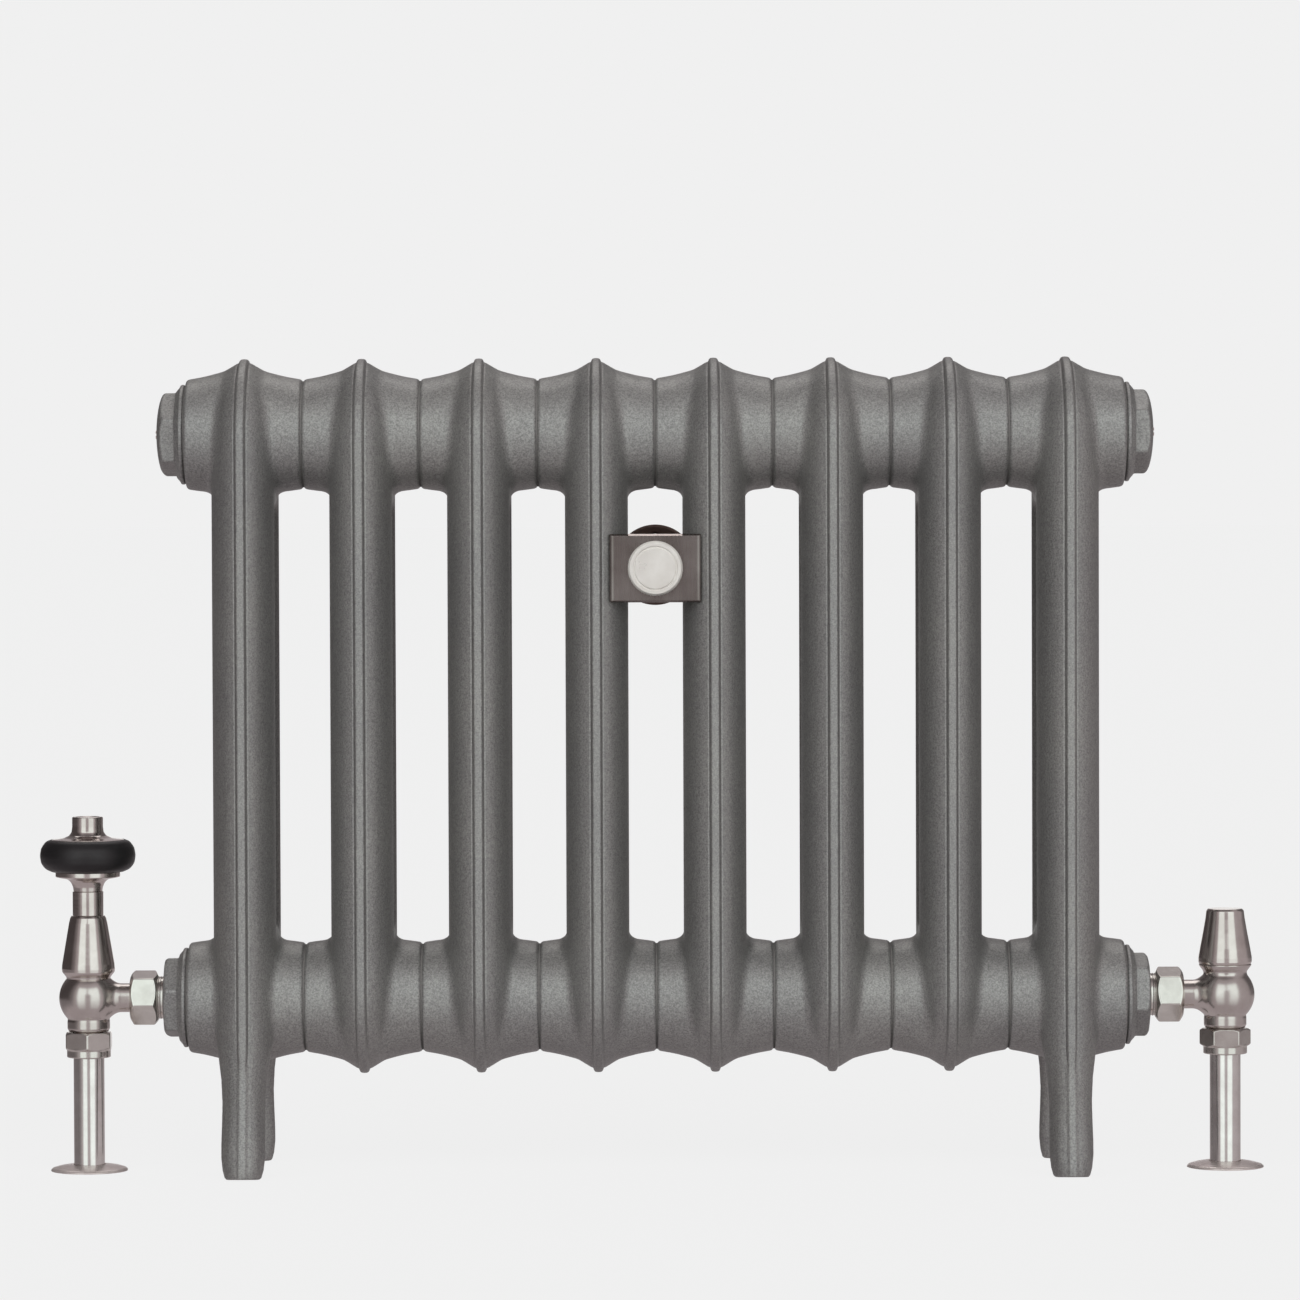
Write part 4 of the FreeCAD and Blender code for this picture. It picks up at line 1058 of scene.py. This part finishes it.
STAY_Z = 342.5
lathe(
    "stay_knob_turned",
    [
        (4.05, 47.1),
        (12.2, 47.1, 0.3),
        (15.1, 49.4, 0.8),
        (15.4, 50.6, 0.4),
        (15.4, 54.6, 0.9),
        (14.3, 55.8, 0.5),
        (12.6, 55.75, 0.3),
        (12.2, 55.35, 0.2),
        (11.8, 55.35, 0.2),
        (11.4, 55.75, 0.3),
        (0.0, 55.8),
        (0.0, 53.4),
        (4.05, 53.4),
    ],
    (0, 0, STAY_Z),
    "front",
    MAT["nickel_knob"],
    "stay_knob",
    ("stay_knob",),
    128,
)


def plate_mesh():
    wide, high = 51.5 / 2, 38.5 / 2

    def f(x, y, z):
        # y is depth in front of the middle plane, positive forwards
        bend = np.clip(np.abs(x) - (wide - 2.8), 0, 3)
        back = 0.13 * bend * bend
        slab = np.abs(y - (45.55 - back)) - 1.25
        sides = smax(np.abs(x) - wide + 0 * z, np.abs(z) - high + 0 * x, 1.4)
        d = smax(slab + 0 * z, sides + 0 * y, 0.6)
        d = smax(d, y - 46.8, 0.3)
        d = smax(d, 44.3 - y, 0.3)
        # the top and bottom edges are bevelled in front
        d = smax(d, (y - 46.8) * 0.5 + (np.abs(z) - high + 1.1) * 0.866 + 0 * x, 0.2)
        return smax(d, 4.3 - np.hypot(x, z) + 0 * y, 0.3)

    xs = both_ways((0, 22, 0.9), (22, 26.4, 0.24))
    ys = grid((43.8, 47.3, 0.25))
    zs = both_ways((0, 17.6, 0.9), (17.6, 20.0, 0.24))
    return skin(f, xs, ys, zs)


co, faces = plate_mesh()
co = co * [1, -1, 1] + [0, 0, STAY_Z]
sheet = new_object("stay_clamp_plate_sheet", co, faces[:, ::-1].copy(), MAT["plate"], "radiator", ("stay_clamp_plate",))
# the top bevel between the columns gets a bright, nearly matt pinkish finish: a painted highlight standing in for the
# light the bevel reflects there
sheet.data.materials.append(MAT["painted_highlight_edge"])
upward, middle = np.zeros(len(sheet.data.polygons) * 3), np.zeros(len(sheet.data.polygons) * 3)
sheet.data.polygons.foreach_get("normal", upward)
sheet.data.polygons.foreach_get("center", middle)
# painted highlight on the upward-facing bevel faces, only over the gap between the columns
painted_highlight_faces = (upward.reshape(-1, 3)[:, 2] > 0.45) & (np.abs(middle.reshape(-1, 3)[:, 0] - 0.002625) < 0.0152)
sheet.data.polygons.foreach_set("material_index", painted_highlight_faces.astype(np.int32))

# ------------------------------------------------------------------ stage


def floor_material():
    m = bpy.data.materials.new("studio_floor")
    m.use_nodes = True
    t = m.node_tree
    t.nodes.clear()
    out = t.nodes.new("ShaderNodeOutputMaterial")
    seen = t.nodes.new("ShaderNodeEmission")
    seen.inputs[0].default_value = (*srgb(240, 240, 240), 1)
    seen.inputs[1].default_value = 0.965
    dim = t.nodes.new("ShaderNodeEmission")
    dim.inputs[0].default_value = (0.36, 0.33, 0.325, 1)
    dim.inputs[1].default_value = 1.0
    soft = t.nodes.new("ShaderNodeBsdfDiffuse")
    soft.inputs[0].default_value = (0.06, 0.06, 0.06, 1)
    add = t.nodes.new("ShaderNodeAddShader")
    path = t.nodes.new("ShaderNodeLightPath")
    pick = t.nodes.new("ShaderNodeMixShader")
    t.links.new(path.outputs["Is Camera Ray"], pick.inputs[0])
    t.links.new(dim.outputs[0], pick.inputs[1])
    t.links.new(seen.outputs[0], add.inputs[0])
    t.links.new(soft.outputs[0], add.inputs[1])
    t.links.new(add.outputs[0], pick.inputs[2])
    t.links.new(pick.outputs[0], out.inputs[0])
    return m


me = bpy.data.meshes.new("studio_floor")
R = 60.0
me.from_pydata([(-R, -R, 0), (R, -R, 0), (R, R, 0), (-R, R, 0)], [], [(0, 1, 2, 3)])
me.materials.append(floor_material())
floor = bpy.data.objects.new("studio_floor", me)
bpy.context.scene.collection.objects.link(floor)
floor.visible_glossy = False
floor.visible_diffuse = False
floor.visible_shadow = False

world = bpy.data.worlds.new("studio")
bpy.context.scene.world = world
world.use_nodes = True
t = world.node_tree
t.nodes.clear()


def wnode(kind, **props):
    n = t.nodes.new(kind)
    for k, v in props.items():
        setattr(n, k, v)
    return n


def wmath(op, a, b=None, c=None):
    n = wnode("ShaderNodeMath", operation=op)
    for i, v in enumerate((a, b, c)):
        if v is None:
            continue
        if isinstance(v, (int, float)):
            n.inputs[i].default_value = v
        else:
            t.links.new(v, n.inputs[i])
    return n.outputs[0]


def wramp(value, stops):
    n = wnode("ShaderNodeValToRGB")
    n.color_ramp.interpolation = "EASE"
    while len(n.color_ramp.elements) < len(stops):
        n.color_ramp.elements.new(0.5)
    for e, (p, c) in zip(n.color_ramp.elements, stops):
        e.position = p
        e.color = (*((c, c, c) if isinstance(c, (int, float)) else c), 1)
    t.links.new(value, n.inputs[0])
    return n.outputs[0]


coord = wnode("ShaderNodeTexCoord")
split = wnode("ShaderNodeSeparateXYZ")
t.links.new(coord.outputs["Generated"], split.inputs[0])
dx, dy, dz = split.outputs
# azimuth from -Y, positive to +X, as -1..1 for -180..180 degrees
azimuth = wmath("DIVIDE", wmath("ARCTAN2", dx, wmath("MULTIPLY", dy, -1.0)), math.pi)
az01 = wmath("MULTIPLY_ADD", azimuth, 0.5, 0.5)
height = wmath("DIVIDE", wmath("ARCSINE", dz), math.pi / 2)
el01 = wmath("MULTIPLY_ADD", height, 0.5, 0.5)


def az(deg):
    return 0.5 + deg / 360.0


def el(deg):
    return 0.5 + deg / 180.0


def blend(factor, low, high):
    n = wnode("ShaderNodeMix", data_type="RGBA")
    t.links.new(factor, n.inputs[0])
    for value, socket in ((low, n.inputs[6]), (high, n.inputs[7])):
        if isinstance(value, tuple):
            socket.default_value = (*value, 1)
        else:
            t.links.new(value, socket)
    return n.outputs[2]


# two upright soft boxes in front, nearly touching higher up
pair = wramp(
    az01,
    [
        (az(-44), 0.0),
        (az(-38), 1.0),
        (az(-11), 1.0),
        (az(-6), 0.0),
        (az(10), 0.0),
        (az(15), 1.0),
        (az(46), 1.0),
        (az(53), 0.0),
    ],
)
whole = wramp(
    az01,
    [
        (az(-44), 0.0),
        (az(-38), 1.0),
        (az(-5), 1.0),
        (az(-2), 0.15),
        (az(2), 0.15),
        (az(5), 1.0),
        (az(46), 1.0),
        (az(53), 0.0),
    ],
)
strip_up = wramp(el01, [(el(-42), 0.0), (el(-32), 0.3), (el(-16), 0.58), (el(-5), 0.84), (el(12), 1.0), (el(36), 1.0), (el(46), 0.0)])
amount = wmath("MULTIPLY", blend(wramp(el01, [(el(15.5), 0.0), (el(18.5), 1.0)]), pair, whole), strip_up)
# the room: dark on the left, mid grey on the right, a pale back wall low down
near_floor = wramp(
    az01,
    [
        (az(-180), (0.50, 0.46, 0.47)),
        (az(-130), (0.24, 0.22, 0.225)),
        (az(-70), (0.23, 0.21, 0.215)),
        (az(-48), (0.44, 0.405, 0.41)),
        (az(45), (0.47, 0.43, 0.44)),
        (az(125), (0.42, 0.385, 0.39)),
        (az(180), (0.50, 0.46, 0.47)),
    ],
)
eye_level = wramp(
    az01,
    [
        (az(-180), (1.08, 1.08, 1.06)),
        (az(-170), (1.08, 1.08, 1.06)),
        (az(-158), (0.075, 0.066, 0.066)),
        (az(-82), (0.075, 0.066, 0.066)),
        (az(-64), (0.20, 0.18, 0.182)),
        (az(-48), (0.44, 0.405, 0.41)),
        (az(45), (0.49, 0.45, 0.46)),
        (az(96), (0.44, 0.40, 0.41)),
        (az(125), (0.20, 0.183, 0.187)),
        (az(160), (0.14, 0.128, 0.13)),
        (az(170), (1.08, 1.08, 1.06)),
        (az(180), (1.08, 1.08, 1.06)),
    ],
)
above = wramp(
    az01,
    [
        (az(-180), (0.45, 0.41, 0.42)),
        (az(-158), (0.14, 0.128, 0.13)),
        (az(-120), (0.075, 0.066, 0.066)),
        (az(-82), (0.075, 0.066, 0.066)),
        (az(-64), (0.20, 0.18, 0.182)),
        (az(-48), (0.44, 0.405, 0.41)),
        (az(45), (0.49, 0.45, 0.46)),
        (az(96), (0.42, 0.385, 0.39)),
        (az(122), (0.14, 0.128, 0.13)),
        (az(158), (0.14, 0.128, 0.13)),
        (az(180), (0.45, 0.41, 0.42)),
    ],
)
room = blend(wramp(el01, [(el(-6.5), 0.0), (el(-3.5), 1.0)]), near_floor, eye_level)
room = blend(wramp(el01, [(el(4.8), 0.0), (el(7.5), 1.0)]), room, above)
room = blend(wramp(el01, [(el(-34), 1.0), (el(-12), 0.0)]), room, (0.45, 0.41, 0.42))
room = blend(wramp(el01, [(el(54), 0.0), (el(70), 1.0)]), room, (0.17, 0.155, 0.158))
behind = wramp(az01, [(az(-150), 1.0), (az(-115), 0.0), (az(115), 0.0), (az(150), 1.0)])
behind = wmath("MULTIPLY", behind, wramp(el01, [(el(44), 0.0), (el(50), 1.0), (el(74), 1.0), (el(84), 0.0)]))
room = blend(behind, room, (1.5, 1.48, 1.46))
lit = blend(amount, room, (1.14, 1.25, 1.22))
studio = wnode("ShaderNodeBackground")
t.links.new(lit, studio.inputs[0])
studio.inputs[1].default_value = 1.0
# matt surfaces are lit by one broad soft source in front
wash_round = wramp(
    az01,
    [
        (az(-88), 0.02),
        (az(-34), 1.0),
        (az(36), 1.0),
        (az(88), 0.02),
    ],
)
wash_up = wramp(el01, [(el(-12), 0.0), (el(7), 0.8), (el(15), 1.0), (el(32), 1.0), (el(56), 0.14)])
wash = wnode("ShaderNodeBackground")
t.links.new(wmath("MULTIPLY", wash_round, wash_up), wash.inputs[0])
wash.inputs[1].default_value = 2.52
plain = wnode("ShaderNodeBackground")
plain.inputs[0].default_value = (*srgb(240, 240, 240), 1)
plain.inputs[1].default_value = 1.0
path = wnode("ShaderNodeLightPath")
soft = wnode("ShaderNodeMixShader")
t.links.new(path.outputs["Is Diffuse Ray"], soft.inputs[0])
t.links.new(studio.outputs[0], soft.inputs[1])
t.links.new(wash.outputs[0], soft.inputs[2])
pick = wnode("ShaderNodeMixShader")
t.links.new(path.outputs["Is Camera Ray"], pick.inputs[0])
t.links.new(soft.outputs[0], pick.inputs[1])
t.links.new(plain.outputs[0], pick.inputs[2])
end = wnode("ShaderNodeOutputWorld")
t.links.new(pick.outputs[0], end.inputs[0])

scene = bpy.context.scene
scene.view_settings.view_transform = "Standard"
scene.view_settings.look = "None"
scene.view_settings.exposure = 0.0
scene.view_settings.gamma = 1.0

cam = bpy.data.cameras.new("camera")
cam.sensor_width = 36.0
cam.lens = 166.95
cam.clip_start, cam.clip_end = 0.05, 200.0
camera = bpy.data.objects.new("camera", cam)
scene.collection.objects.link(camera)
camera.location = (0.002625, -3.45055, 0.386)
camera.rotation_mode = "XYZ"
camera.rotation_euler = (math.radians(90 - 1.515), math.radians(0.2), math.radians(0.048))
scene.camera = camera
